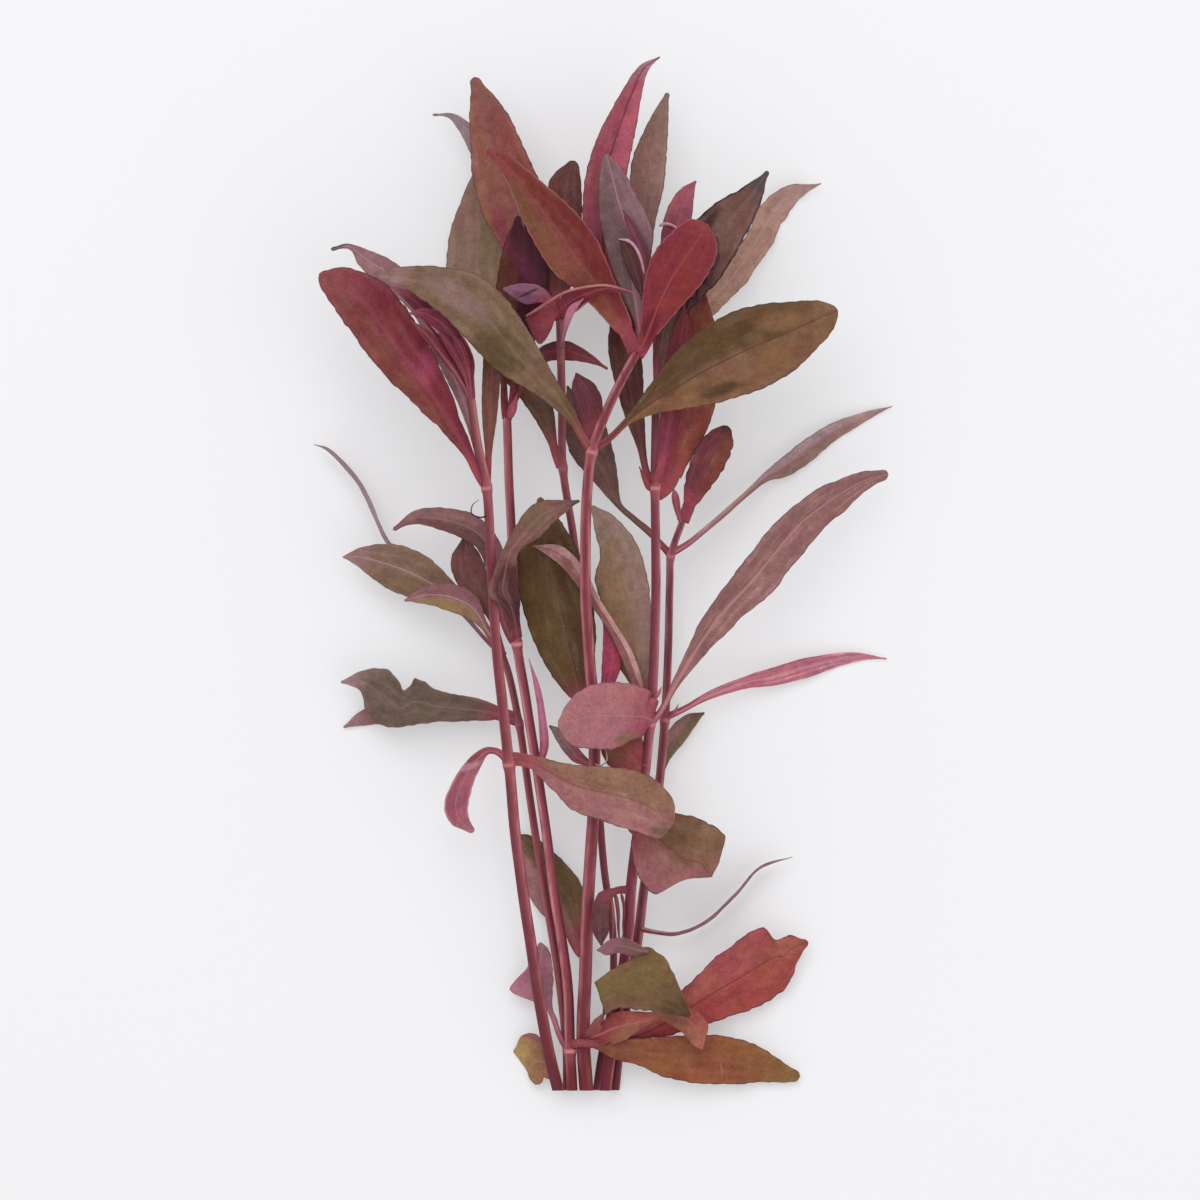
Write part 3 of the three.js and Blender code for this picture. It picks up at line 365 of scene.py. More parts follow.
class LeafTint(Effect):
    """The broad colour of a blade: from foot to tip, with its two halves and its two faces apart."""

    name = "Leaf tint"
    inputs = {
        "Stalk": BLACK, "Foot": BLACK, "Blade": BLACK, "Tip": BLACK, "Left": BLACK, "Right": BLACK,
        "Under": BLACK, "Foot End": 0.3, "Tip Start": 0.7, "Left Share": 0.0, "Right Share": 0.0,
    }
    outputs = {"Color": COLOUR}

    CLOUD_MM = 5.0
    UNEVEN_ALONG, UNEVEN_ACROSS, UNEVEN_STALK = 0.3, 1.0, 4.0
    PAST_RIB, FULL_SIDE = 0.12, 0.3
    STALK_END_MM, STALK_FULL_MM, STALK_SHARE = 12.0, 3.5, 0.85

    def work(self, w: Wiring, taken: Sockets) -> Sockets:
        """Mixes the colours along and across the blade. Args: w, taken. Returns: Color."""
        cloud = w.cloud(w.place_mm(), self.CLOUD_MM)
        share = w.plus(cloud, self.UNEVEN_ALONG, w.stored("share"))
        across = w.plus(cloud, self.UNEVEN_ACROSS, w.stored("across"))
        colour = w.mix(w.ease(share, 0.0, taken["Foot End"]), taken["Foot"], taken["Blade"])
        left = w.times(w.ease(across, self.PAST_RIB, -self.FULL_SIDE), taken["Left Share"])
        right = w.times(w.ease(across, -self.PAST_RIB, self.FULL_SIDE), taken["Right Share"])
        colour = w.mix(right, w.mix(left, colour, taken["Left"]), taken["Right"])
        colour = w.mix(w.ease(share, taken["Tip Start"], 1.0), colour, taken["Tip"])
        foot = w.plus(cloud, self.UNEVEN_STALK, w.stored("foot_mm"))
        stalk = w.times(w.ease(foot, self.STALK_END_MM, self.STALK_FULL_MM), self.STALK_SHARE)
        colour = w.mix(stalk, colour, taken["Stalk"])
        return {"Color": w.mix(w.ease(w.stored("face"), 0.3, 0.7), taken["Under"], colour)}


class LeafVeins(Effect):
    """The midrib, the side veins that arch from it and the fine net between them."""

    name = "Leaf veins"
    inputs = {"Rib Width": 0.5, "Vein Width": 0.15}
    outputs = {"Rib": NUMBER, "Veins": NUMBER, "Net": NUMBER, "Height": NUMBER}

    TAPER = -0.7
    CLOUD_MM, WANDER = 3.5, 0.55
    MARGIN_MM, INSIDE_MM = 0.2, 2.4
    GAP_MM, NET_MM = 2.0, 1.1
    RIB_RISE, VEIN_RISE, NET_RISE = 0.6, 0.5, 0.14

    def work(self, w: Wiring, taken: Sockets) -> Sockets:
        """Draws the lines from the values that the blade's mesh holds. Args: w, taken. Returns: Masks, height."""
        place = w.place_mm()
        taper = w.plus(w.stored("share"), self.TAPER, 1.0)
        width = w.times(taken["Rib Width"], taper)
        off_rib = w.size(w.stored("rib_mm"))
        rib = w.ease(off_rib, width, w.times(width, 0.3))
        cloud = w.cloud(place, self.CLOUD_MM)
        phase = w.plus(cloud, self.WANDER, w.stored("vein"))
        gap = w.size(w.maths("SUBTRACT", w.maths("FRACT", phase), 0.5))
        off_vein = w.maths("SUBTRACT", 0.5, gap)
        line = w.ease(off_vein, taken["Vein Width"], w.times(taken["Vein Width"], 0.2))
        inside = w.ease(w.stored("edge_mm"), self.MARGIN_MM, self.INSIDE_MM)
        broken = w.ease(w.noise(place, self.GAP_MM), 0.3, 0.62)
        veins = w.times(w.times(line, inside), broken)
        scale = {"Vector": place, "Scale": 1 / self.NET_MM}
        cells = w.node("ShaderNodeTexVoronoi", scale, feature="DISTANCE_TO_EDGE").outputs[0]
        net = w.ease(cells, 0.09, 0.02)
        height = w.plus(veins, self.VEIN_RISE, w.times(rib, self.RIB_RISE))
        height = w.plus(net, self.NET_RISE, height)
        return {"Rib": rib, "Veins": veins, "Net": net, "Height": height}


class Mottling(Effect):
    """Cloudy and fine unevenness of colour, as living tissue has."""

    name = "Mottling"
    inputs = {"Color": BLACK, "Cloud": 0.7, "Grain": 0.65, "Hue": 0.05}
    outputs = {"Color": COLOUR, "Height": NUMBER}

    CLOUD_MM, GRAIN_MM, HUE_MM, SPOT_MM = 4.5, 0.55, 9.0, 1.5
    SPOT_SHARE = 0.8

    def work(self, w: Wiring, taken: Sockets) -> Sockets:
        """Shifts value and hue by noise. Args: w, taken. Returns: Color and a fine relief."""
        place = w.place_mm()
        cloud = w.cloud(place, self.CLOUD_MM, 4.0)
        grain = w.cloud(place, self.GRAIN_MM, 3.0)
        other = w.cloud(place, self.HUE_MM, 2.0)
        spots = w.cloud(place, self.SPOT_MM, 3.0)
        spots = w.times(spots, self.SPOT_SHARE)
        value = w.plus(w.maths("ADD", cloud, spots), taken["Cloud"], 1.0)
        value = w.plus(grain, taken["Grain"], value)
        hue = w.plus(other, taken["Hue"], 0.5)
        inputs = {"Hue": hue, "Saturation": 1.0, "Value": value, "Fac": 1.0, "Color": taken["Color"]}
        return {"Color": w.node("ShaderNodeHueSaturation", inputs).outputs[0], "Height": grain}


class ColourPatch(Effect):
    """A soft-edged patch of another colour, at a place in the plant's own millimetres."""

    name = "Colour patch"
    inputs = {
        "Color": BLACK, "Tint": BLACK, "X": 0.0, "Y": 0.0, "Turn": 0.0, "Long": 5.0, "Wide": 5.0,
        "Strength": 1.0, "Softness": 0.5,
    }
    outputs = {"Color": COLOUR}

    CLOUD_MM, UNEVEN, END = 3.0, 0.5, 1.1

    def work(self, w: Wiring, taken: Sockets) -> Sockets:
        """Measures from the patch's middle, with an uneven edge. Args: w, taken. Returns: Color."""
        place = w.place_mm()
        parts = w.node("ShaderNodeSeparateXYZ", {0: place}).outputs
        x, y = (w.maths("SUBTRACT", parts[k], taken["XY"[k]]) for k in range(2))
        cosine, sine = (w.maths(kind, taken["Turn"]) for kind in ("COSINE", "SINE"))
        ahead = w.plus(x, cosine, w.times(y, sine))
        aside = w.maths("SUBTRACT", w.times(y, cosine), w.times(x, sine))
        ahead = w.maths("POWER", w.size(w.maths("DIVIDE", ahead, taken["Long"])), 2.0)
        aside = w.maths("POWER", w.size(w.maths("DIVIDE", aside, taken["Wide"])), 2.0)
        reach = w.maths("SQRT", w.maths("ADD", ahead, aside))
        cloud = w.cloud(place, self.CLOUD_MM, 3.0)
        reach = w.plus(cloud, self.UNEVEN, reach)
        inner = w.maths("SUBTRACT", 1.0, taken["Softness"])
        share = w.times(w.ease(reach, self.END, inner), taken["Strength"])
        return {"Color": w.mix(share, taken["Color"], taken["Tint"])}


class LeafPleats(Effect):
    """Soft lighter and darker bands that run along a blade."""

    name = "Leaf pleats"
    inputs = {"Count": 2.2}
    outputs = {"Mask": NUMBER}

    DRAWN_OUT = 0.045

    def work(self, w: Wiring, taken: Sockets) -> Sockets:
        """Reads noise that is drawn out along the blade. Args: w, taken. Returns: Mask."""
        across = w.times(w.stored("across"), taken["Count"])
        along = w.times(w.stored("foot_mm"), self.DRAWN_OUT)
        place = w.node("ShaderNodeCombineXYZ", {0: across, 1: along, 2: w.stored("face")}).outputs[0]
        return {"Mask": w.ease(w.noise(place, 0.6, 3.0), 0.42, 0.68)}


class BubbleGlints(Effect):
    """A few tiny pale specks: painted glints of the small bubbles and hairs on a leaf."""

    name = "Bubble glints"
    inputs = {"Size": 0.17}
    outputs = {"Mask": NUMBER}

    CELL_MM = 3.2
    RARE = 0.86

    def work(self, w: Wiring, taken: Sockets) -> Sockets:
        """Keeps the cells that a rare noise picks. Args: w, taken. Returns: Mask."""
        place = w.place_mm()
        dots = w.node("ShaderNodeTexVoronoi", {"Vector": place, "Scale": 1 / self.CELL_MM}).outputs
        reach = w.times(dots["Distance"], self.CELL_MM)
        dot = w.ease(reach, taken["Size"], w.times(taken["Size"], 0.4))
        pick = w.node("ShaderNodeSeparateColor", {0: dots["Color"]}).outputs[0]
        return {"Mask": w.times(dot, w.maths("GREATER_THAN", pick, self.RARE))}


class LeafRim(Effect):
    """The thin line of another tone that runs round a blade's margin."""

    name = "Leaf rim"
    inputs = {"Width": 0.5}
    outputs = {"Mask": NUMBER}

    CLOUD_MM, UNEVEN_MM = 1.5, 0.5

    def work(self, w: Wiring, taken: Sockets) -> Sockets:
        """Reads how far the margin is. Args: w, taken. Returns: Mask."""
        cloud = w.cloud(w.place_mm(), self.CLOUD_MM)
        off = w.plus(cloud, self.UNEVEN_MM, w.stored("edge_mm"))
        return {"Mask": w.ease(off, taken["Width"], w.times(taken["Width"], 0.25))}


class StemStreaks(Effect):
    """Streaks of painted shade and rim light along a stem, fine fibres, pale joint rings and the cut's pale pith."""

    name = "Stem streaks"
    inputs = {"Foot": BLACK, "Middle": BLACK, "Top": BLACK, "Pale": BLACK, "Shade": BLACK, "Joint": BLACK}
    outputs = {"Color": COLOUR, "Height": NUMBER}

    DRAWN_OUT = (1.0, 0.09, 1.0)
    FIBRE_MM, BROAD_MM = 0.35, 1.1
    SHADE_SHARE, FIBRE_SHARE, RING_SHARE, CUT_SHARE = 0.8, 0.25, 0.75, 0.7
    RING_MM, RING_FULL_MM = 0.75, 0.2
    BLUSH_MM, BLUSH_FULL_MM, BLUSH_SHARE = 5.0, 0.8, 0.35

    def work(self, w: Wiring, taken: Sockets) -> Sockets:
        """Mixes the tones by place. Args: w, taken. Returns: Color and a streaky relief."""
        place = w.place_mm()
        drawn = w.node("ShaderNodeVectorMath", {0: place, 1: self.DRAWN_OUT}, operation="MULTIPLY").outputs[0]
        fibre = w.noise(drawn, self.FIBRE_MM, 3.0)
        broad = w.noise(drawn, self.BROAD_MM, 2.0)
        share = w.stored("share")
        # The foot's tone holds painted shade near the cut.
        colour = w.mix(w.ease(share, 0.0, 0.35), taken["Foot"], taken["Middle"])
        colour = w.mix(w.ease(share, 0.55, 1.0), colour, taken["Top"])
        # Painted shade: a dark streak over the stem's top.
        shade = w.times(w.stored("shade"), w.ease(broad, 0.2, 0.5))
        colour = w.mix(w.times(shade, self.SHADE_SHARE), colour, taken["Shade"])
        colour = w.mix(w.times(w.ease(fibre, 0.5, 0.75), self.FIBRE_SHARE), colour, taken["Shade"])
        # Painted rim light: pale streaks down the stem's edges, fading towards the foot.
        pale = w.times(w.stored("pale"), w.ease(broad, 0.75, 0.35))
        pale = w.times(pale, w.ease(share, -0.25, 0.35))
        colour = w.mix(pale, colour, taken["Pale"])
        joint = w.stored("joint_mm")
        ring = w.ease(w.size(joint), self.RING_MM, self.RING_FULL_MM)
        blush = w.times(w.ease(w.size(joint), self.BLUSH_MM, self.BLUSH_FULL_MM), self.BLUSH_SHARE)
        colour = w.mix(blush, colour, taken["Joint"])
        colour = w.mix(w.times(ring, self.RING_SHARE), colour, taken["Pale"])
        colour = w.mix(w.times(w.stored("cut"), self.CUT_SHARE), colour, taken["Pale"])
        return {"Color": colour, "Height": fibre}


@dataclass(frozen=True)
class Patch:
    """A soft patch of another colour on a blade.

    Attributes:
        at: Its middle, X and Y in millimetres.
        size: Its half length and half width in millimetres.
        tint: Its colour.
        turn: How far its length is turned from X towards Y, in degrees.
        strength: How much of the blade's own colour it takes the place of.
        softness: How much of it is its edge.
    """

    at: tuple[float, float]
    size: tuple[float, float]
    tint: Rgb
    turn: float = 0.0
    strength: float = 0.8
    softness: float = 0.6


@dataclass(frozen=True)
class LeafLook:
    """One leaf's finish.

    Attributes:
        slot: The record's slot.
        blade: Its main colour.
        foot: Its colour where the blade begins.
        tip: Its colour at the tip.
        rib: The midrib's colour.
        rim: The margin's colour.
        left: The tint of its left half.
        right: The tint of its right half.
        rib_share: How clear the midrib is.
        rib_width: Half the midrib's width in millimetres.
        rim_share: How clear the margin is.
        rim_width: In millimetres.
        veins: How clear the side veins are. Below 0 they are darker than the blade.
        stalk: The colour of its stalk.
        pleats: How clear the bands along it are.
        pleat: Their colour.
        ends: Where the foot's colour ends and where the tip's begins, as shares of the length.
        patches: Patches of other colours.
    """

    slot: Slot
    blade: Rgb
    foot: Rgb | None = None
    tip: Rgb | None = None
    rib: Rgb | None = None
    rim: Rgb | None = None
    left: Rgb | None = None
    right: Rgb | None = None
    rib_share: float = 0.45
    rib_width: float = 0.5
    rim_share: float = 0.5
    rim_width: float = 0.45
    veins: float = 0.3
    stalk: Rgb = 0xA34856
    pleats: float = 0.22
    pleat: Rgb | None = None
    ends: tuple[float, float] = (0.25, 0.72)
    patches: tuple[Patch, ...] = ()


@dataclass(frozen=True)
class StemLook:
    """A stem's finish.

    Attributes:
        slot: The record's slot.
        foot: Its colour at the foot, its own red darkened by painted shade near the cut.
        middle: Its colour at its middle.
        top: Its colour at the top.
        pale: The colour of its painted rim light, pale streaks down its edges, and of its joint rings and its cut.
        shade: The colour of its painted shade, a dark streak over its top, and of its fine dark fibres.
        joint: The colour near its joints.
        rim_light_at: Where round the stem the painted rim light is, in degrees from its left side over its top.
        shade_at: Where the painted shade is.
    """

    slot: Slot
    foot: Rgb
    middle: Rgb
    top: Rgb
    pale: Rgb
    shade: Rgb
    joint: Rgb
    rim_light_at: tuple[float, ...] = ()
    shade_at: tuple[float, ...] = ()


def shifted(colour: Rgb, by: float) -> Rgb:
    """A lighter or darker colour. Args: colour: From. by: -1 to 1, towards black or white. Returns: The colour."""
    goal = 255 if by > 0 else 0
    parts = ((colour >> bits & 255, bits) for bits in (16, 8, 0))
    return sum(round(part + (goal - part) * abs(by)) << bits for part, bits in parts)


class Paintbox:
    """Makes the materials, from node groups that are built once."""

    RELIEF = 0.12 * MM
    SHEEN = 0.18
    LEAF_THROUGH, STEM_THROUGH = 0.28, 0.08
    LEAF_ROUGH, STEM_ROUGH, UNEVEN_ROUGH = 0.6, 0.42, 0.25
    LEAF_GRAIN_RISE, STEM_GRAIN_RISE = 0.5, 0.3
    HALF_SHARE = 0.85
    UNDER_LIGHTER, PLEAT_LIGHTER, RIB_LIGHTER, RIM_DARKER = 0.12, 0.3, 0.2, -0.35
    VEIN_SHARE, NET_SHARE = 0.6, 0.35
    VEIN_LIGHTER, VEIN_DARKER, VEIN_SATURATION = 1.45, 0.6, 0.85
    # Specks: the near-white tone of the painted glints of small bubbles and hairs, and how much of a speck shows.
    SPECK, SPECK_SHARE = 0xEBD7D7, 0.5

    def __init__(self) -> None:
        """Builds the groups."""
        self.tint, self.veins, self.mottling = LeafTint(), LeafVeins(), Mottling()
        self.patch, self.rim, self.streaks = ColourPatch(), LeafRim(), StemStreaks()
        self.pleats, self.specks = LeafPleats(), BubbleGlints()

    def _material(self, name: str) -> tuple[bpy.types.Material, Wiring]:
        """A new empty material. Args: name: Its name. Returns: It and its wiring."""
        material = bpy.data.materials.new(name)
        material.use_nodes = True
        material.node_tree.nodes.clear()
        return material, Wiring(material.node_tree)

    def _finish(self, w: Wiring, colour: Socket, height: Socket, rough: Socket, through: float) -> None:
        """Ends a material with its shaders.

        Args:
            w: The material's wiring.
            colour: Of the surface.
            height: Its relief, 0 to 1.
            rough: Its roughness.
            through: How much light goes through it.
        """
        bump = w.node("ShaderNodeBump", {"Strength": 1.0, "Distance": self.RELIEF, "Height": height}).outputs[0]
        inputs = {"Base Color": colour, "Roughness": rough, "Normal": bump, "Specular IOR Level": self.SHEEN}
        shader = w.node("ShaderNodeBsdfPrincipled", inputs).outputs[0]
        inner = w.node("ShaderNodeBsdfTranslucent", {"Color": colour, "Normal": bump}).outputs[0]
        shader = w.node("ShaderNodeMixShader", {0: through, 1: shader, 2: inner}).outputs[0]
        w.node("ShaderNodeOutputMaterial", {"Surface": shader})

    def _ground(self, w: Wiring, look: LeafLook) -> Socket:
        """A blade's broad colours, its patches and its pleats. Args: w, look. Returns: The colour."""
        blade = look.blade
        tones = {
            "Stalk": look.stalk, "Foot": look.foot, "Blade": blade, "Tip": look.tip,
            "Left": look.left, "Right": look.right, "Under": shifted(blade, self.UNDER_LIGHTER),
        }
        colour = self.tint.place(
            w,
            **{key: linear(tone or blade) for key, tone in tones.items()},
            Foot_End=look.ends[0], Tip_Start=look.ends[1],
            Left_Share=self.HALF_SHARE if look.left else 0.0, Right_Share=self.HALF_SHARE if look.right else 0.0,
        )["Color"]
        for patch in look.patches:
            colour = self.patch.place(
                w,
                Color=colour, Tint=linear(patch.tint), X=patch.at[0] - MIDDLE[0], Y=patch.at[1] - MIDDLE[1],
                Turn=math.radians(patch.turn), Long=patch.size[0], Wide=patch.size[1],
                Strength=patch.strength, Softness=patch.softness,
            )["Color"]
        if look.pleats:
            bands = w.times(self.pleats.place(w)["Mask"], look.pleats)
            colour = w.mix(bands, colour, linear(look.pleat or shifted(blade, self.PLEAT_LIGHTER)))
        return colour

    def leaf(self, name: str, look: LeafLook) -> bpy.types.Material:
        """A blade's material. Args: name: The piece's name. look: Its finish. Returns: The material."""
        material, w = self._material(name)
        mottled = self.mottling.place(w, Color=self._ground(w, look))
        lines = self.veins.place(w, Rib_Width=look.rib_width)
        vein = w.times(lines["Veins"], abs(look.veins) * self.VEIN_SHARE)
        net = w.times(lines["Net"], abs(look.veins) * self.NET_SHARE)
        value = self.VEIN_LIGHTER if look.veins > 0 else self.VEIN_DARKER
        inputs = {"Saturation": self.VEIN_SATURATION, "Value": value, "Fac": 1.0, "Color": mottled["Color"]}
        toned = w.node("ShaderNodeHueSaturation", inputs).outputs[0]
        colour = w.mix(w.maths("MAXIMUM", vein, net), mottled["Color"], toned)
        rim = w.times(self.rim.place(w, Width=look.rim_width)["Mask"], look.rim_share)
        colour = w.mix(rim, colour, linear(look.rim or shifted(look.blade, self.RIM_DARKER)))
        rib = w.times(lines["Rib"], look.rib_share)
        colour = w.mix(rib, colour, linear(look.rib or shifted(look.blade, self.RIB_LIGHTER)))
        # Painted glints: near-white specks where small bubbles and hairs catch the light.
        dots = w.times(self.specks.place(w)["Mask"], self.SPECK_SHARE)
        colour = w.mix(dots, colour, linear(self.SPECK))
        height = w.plus(mottled["Height"], self.LEAF_GRAIN_RISE, lines["Height"])
        rough = w.plus(mottled["Height"], self.UNEVEN_ROUGH, self.LEAF_ROUGH)
        self._finish(w, colour, height, rough, self.LEAF_THROUGH)
        return material

    def stem(self, name: str, look: StemLook) -> bpy.types.Material:
        """A stem's material. Args: name: The piece's name. look: Its finish. Returns: The material."""
        material, w = self._material(name)
        tones = {
            "Foot": look.foot, "Middle": look.middle, "Top": look.top,
            "Pale": look.pale, "Shade": look.shade, "Joint": look.joint,
        }
        drawn = self.streaks.place(w, **{key: linear(tone) for key, tone in tones.items()})
        mottled = self.mottling.place(w, Color=drawn["Color"], Cloud=0.25, Grain=0.12, Hue=0.02)
        height = w.plus(mottled["Height"], self.STEM_GRAIN_RISE, drawn["Height"])
        rough = w.plus(mottled["Height"], self.UNEVEN_ROUGH, self.STEM_ROUGH)
        self._finish(w, mottled["Color"], height, rough, self.STEM_THROUGH)
        return material


@dataclass(frozen=True)
class Relief:
    """The finer shape of a blade.

    Attributes:
        blunt: Half the width of its rounded tip, in millimetres.
        wave: How far the margins go up and down, in millimetres.
        stalk: Half the width of its stalk, in millimetres.
        frill: How uneven the margins are, in millimetres.
        flare: How much wider, on each side, the stalk gets where it clasps the stem.
        pitch: From one wave to the next, in millimetres.
        quilt: How far the blade swells between its side veins, in millimetres.
        spacing: From one side vein to the next, in millimetres.
    """

    blunt: float = 0.4
    wave: float = 0.4
    stalk: float = 0.75
    frill: float = 0.14
    flare: float = 0.3
    pitch: float = 11.0
    quilt: float = 0.14
    spacing: float = 4.2


@dataclass(frozen=True)
class Hold:
    """A place on a stem that a leaf's stalk grows from.

    Attributes:
        place: On the stem's middle line.
        way: Up the stem.
        radius: The stem's, there.
    """

    place: Array
    way: Array
    radius: float


@dataclass(frozen=True)
class Spine:
    """A leaf's rows, from its foot to its tip.

    Attributes:
        middles: The middle of each row.
        along: The leaf's direction at each.
        across: From left to right at each.
        own: Half the width between the two edges.
        sink: How deep the midrib lies.
        stalk: 1 at the stem, 0 from where the bent stretch of the stalk ends.
        shares: 0 at the foot, 1 at the tip.
    """

    middles: Array
    along: Array
    across: Array
    own: Array
    sink: Array
    stalk: Array
    shares: Array

    @property
    def travelled(self) -> Array:
        """How far each row is from the foot, in millimetres, one under the other."""
        steps = np.linalg.norm(np.diff(self.middles, axis=0), axis=1)
        return np.concatenate(((0.0,), np.cumsum(steps)))[:, None]


@dataclass(frozen=True)
class Grid:
    """The corners of a blade's upper face, row by row, in the blade's own measures.

    Attributes:
        shares: 0 at the foot, 1 at the tip.
        travelled: How far each row is from the foot.
        half: Half of each row's width.
        broad: 0 on the stalk, 1 where the blade is broad.
        across: -1 at the left edge, 0 on the midrib, 1 at the right edge.
    """

    shares: Array
    travelled: Array
    half: Array
    broad: Array
    across: Array

    @property
    def rib_mm(self) -> Array:
        """From the midrib, below 0 on the left of it."""
        return self.across * self.half

    @property
    def edge_mm(self) -> Array:
        """From the nearer edge."""
        return self.off_edge * self.half

    @property
    def off_edge(self) -> Array:
        """0 at the edges, 1 on the midrib."""
        return 1 - np.abs(self.across)

    @property
    def sway(self) -> Array:
        """0 on the stalk, 1 where the blade is wide enough for full waves."""
        return np.minimum(1, self.half / 4.5) * ease(self.shares, 0.04, 0.2)


@dataclass(frozen=True)
class Leaf:
    """One leaf: where its foot, its tip and its two edges are.

    Attributes:
        name: The leaf's name.
        base: Where its stalk starts.
        tip: Its far end.
        left: Points of its left edge.
        right: Points of its right edge.
        crease: How deep its midrib lies below its edges. Below 0 it stands above them.
        look: Its finish.
        relief: Its finer shape.
        node: The solid that it belongs to, where that has another name.
    """

    name: str
    base: Point
    tip: Point
    left: tuple[Point, ...]
    right: tuple[Point, ...]
    crease: float
    look: LeafLook
    relief: Relief = Relief()
    node: str = ""

    ROW = 0.85
    ROWS = (18, 88)
    TOWARDS_TIP = 1.3
    COLUMNS = (0.0, 0.035, 0.09, 0.17, 0.28, 0.41, 0.55, 0.69, 0.81, 0.905, 0.965, 1.0)
    NARROW = 0.3
    TIP_HALF = 0.13
    TIP_CLOSING = 0.5
    TIP_STANDS_OUT = 0.08
    STALK_THICK = (1.05, 0.2)
    CLASP_THICK = 0.35
    RIB_THICK = 0.72
    BLADE_THICK = 0.34
    ABOVE, BELOW = 0.42, 0.58
    GROOVE, GROOVE_HALF = 0.16, 0.22
    JOIN_ROWS = 9
    JOIN_DEPTH = 0.45
    JOIN_REACH = 7.0
    DROP = 0.45
    TRIM, TRIM_SHARE = 4.5, 0.12
    FLARE_FADE = 2.2
    SLOW_PITCH, SLOW_RISE = 24.0, 0.12
    FRILL_PITCH = 3.4

    @property
    def piece(self) -> str:
        """The name of the leaf's piece."""
        return self.name if self.node else f"{self.name}_blade"

    def _across(self, gaps: Array, own: Array, along: Array) -> Array:
        """The direction from the left edge to the right one at each row.

        Args:
            gaps: From left to right.
            own: Half of their lengths.
            along: The blade's direction.

        Returns:
            Unit vectors. Narrow rows take the nearest wide row's, square to the leaf's own line.
        """
        wide = np.flatnonzero(own > self.NARROW)
        rows = np.arange(len(own))
        nearest = wide[np.abs(rows[:, None] - wide[None, :]).argmin(axis=1)]
        across = unit(gaps[nearest])
        square = unit(across - along * np.einsum("ij,ij->i", across, along)[:, None])
        share = ease(own, self.NARROW, 1.6)[:, None]
        return unit(across * share + square * (1 - share))

    def _join(self, hold: Hold, foot: Array, along: Array, across: Array) -> tuple:
        """The stalk's last stretch, which bends out of the stem.

        Args:
            hold: The stem's nearest place.
            foot: Where the stretch meets the leaf's own line.
            along: The leaf's direction there.
            across: Its left to right there.

        Returns:
            Middles, directions and left-to-right vectors of the rows.
        """
        base = np.array(self.base, float)
        gap = float(np.linalg.norm(base - hold.place))
        inner = hold.place + unit(base - hold.place) * hold.radius * self.JOIN_DEPTH
        inner = inner - hold.way * self.DROP * gap * max(0.0, float(along @ hold.way))
        bend = foot - along * 0.55 * np.linalg.norm(foot - inner)
        s = np.linspace(0, 1, self.JOIN_ROWS + 1)[:-1, None]
        middles = (1 - s) ** 2 * inner + 2 * s * (1 - s) * bend + s**2 * foot
        ways = unit(2 * (1 - s) * (bend - inner) + 2 * s * (foot - bend))
        sides = unit(across - ways * (ways @ across)[:, None])
        return middles, ways, sides

    def _spine(self, hold: Hold | None) -> Spine:
        """The leaf's rows, with a stalk that bends out of the stem where there is one.

        Args:
            hold: The nearest place of a stem, or None where no stem is near.

        Returns:
            The rows.
        """
        left_line = SmoothLine((self.base, *self.left, self.tip))
        right_line = SmoothLine((self.base, *self.right, self.tip))
        rows = int(np.clip((left_line.length + right_line.length) / 2 / self.ROW, *self.ROWS))
        shares = 1 - (1 - np.linspace(0, 1, rows + 1)) ** self.TOWARDS_TIP
        lefts, rights = left_line.along(shares), right_line.along(shares)
        middles, gaps = (lefts + rights) / 2, rights - lefts
        own = np.linalg.norm(gaps, axis=1) / 2
        along = unit(np.gradient(middles, axis=0))
        across = self._across(gaps, own, along)
        sink = self.crease * own / own.max()
        if hold is None:
            return Spine(middles, along, across, own, sink, np.zeros(rows + 1), shares)
        run = np.cumsum(np.linalg.norm(np.diff(middles, axis=0), axis=1))
        cut = 1 + int(np.searchsorted(run, min(self.TRIM, self.TRIM_SHARE * run[-1])))
        kept = middles[cut:], along[cut:], across[cut:]
        added = self._join(hold, *(part[0] for part in kept))
        extra = self.JOIN_ROWS
        own, sink = (np.concatenate((np.full(extra, row[cut] * 0.8), row[cut:])) for row in (own, sink))
        stalk = np.concatenate((np.linspace(1, 0, extra + 1)[:-1], np.zeros(rows + 1 - cut)))
        shares = np.concatenate((np.linspace(0, shares[cut], extra + 1)[:-1], shares[cut:]))
        return Spine(*(np.vstack(pair) for pair in zip(added, kept)), own, sink, stalk, shares)

    def _grid(self, spine: Spine) -> Grid:
        """The upper face's corners, from the edges, the stalk and the rounded tip. Args: spine. Returns: Them."""
        relief, travelled, shares = self.relief, spine.travelled, spine.shares[:, None]
        flare = relief.flare * np.exp(-travelled / self.FLARE_FADE) * (spine.stalk[0] > 0)
        least = relief.stalk + (self.TIP_HALF - relief.stalk) * ease(shares, 0.02, 0.75) + flare
        off_tip = travelled[-1] - travelled
        near = 1 - np.minimum(off_tip / relief.blunt, 1)
        rounded = relief.blunt * np.sqrt(1 - near**2) * (1 - ease(off_tip, 2 * relief.blunt, 7 * relief.blunt))
        half = (spine.own[:, None] ** 4 + least**4 + rounded**4) ** 0.25
        half *= np.sqrt(np.clip(1 - (1 - np.minimum(off_tip / self.TIP_CLOSING, 1)) ** 2, 0.04, 1))
        right = np.array(self.COLUMNS)
        across = np.concatenate((-right[::-1], right[1:])) * np.ones_like(shares)
        return Grid(shares, travelled, half, ease(half, 0.7, 2.6), across)

    def _vein(self, grid: Grid, random: np.random.Generator) -> Array:
        """A count of the side veins, which arch from the midrib. Args: grid, random. Returns: It at each corner."""
        reach = np.abs(grid.rib_mm)
        run = 0.75 * reach + 0.55 * reach**2 / np.maximum(grid.half, 0.5)
        vein = (grid.travelled - run) / self.relief.spacing + 0.5 * ease(grid.rib_mm, -0.4, 0.4)
        return vein + random.uniform(0, 1)

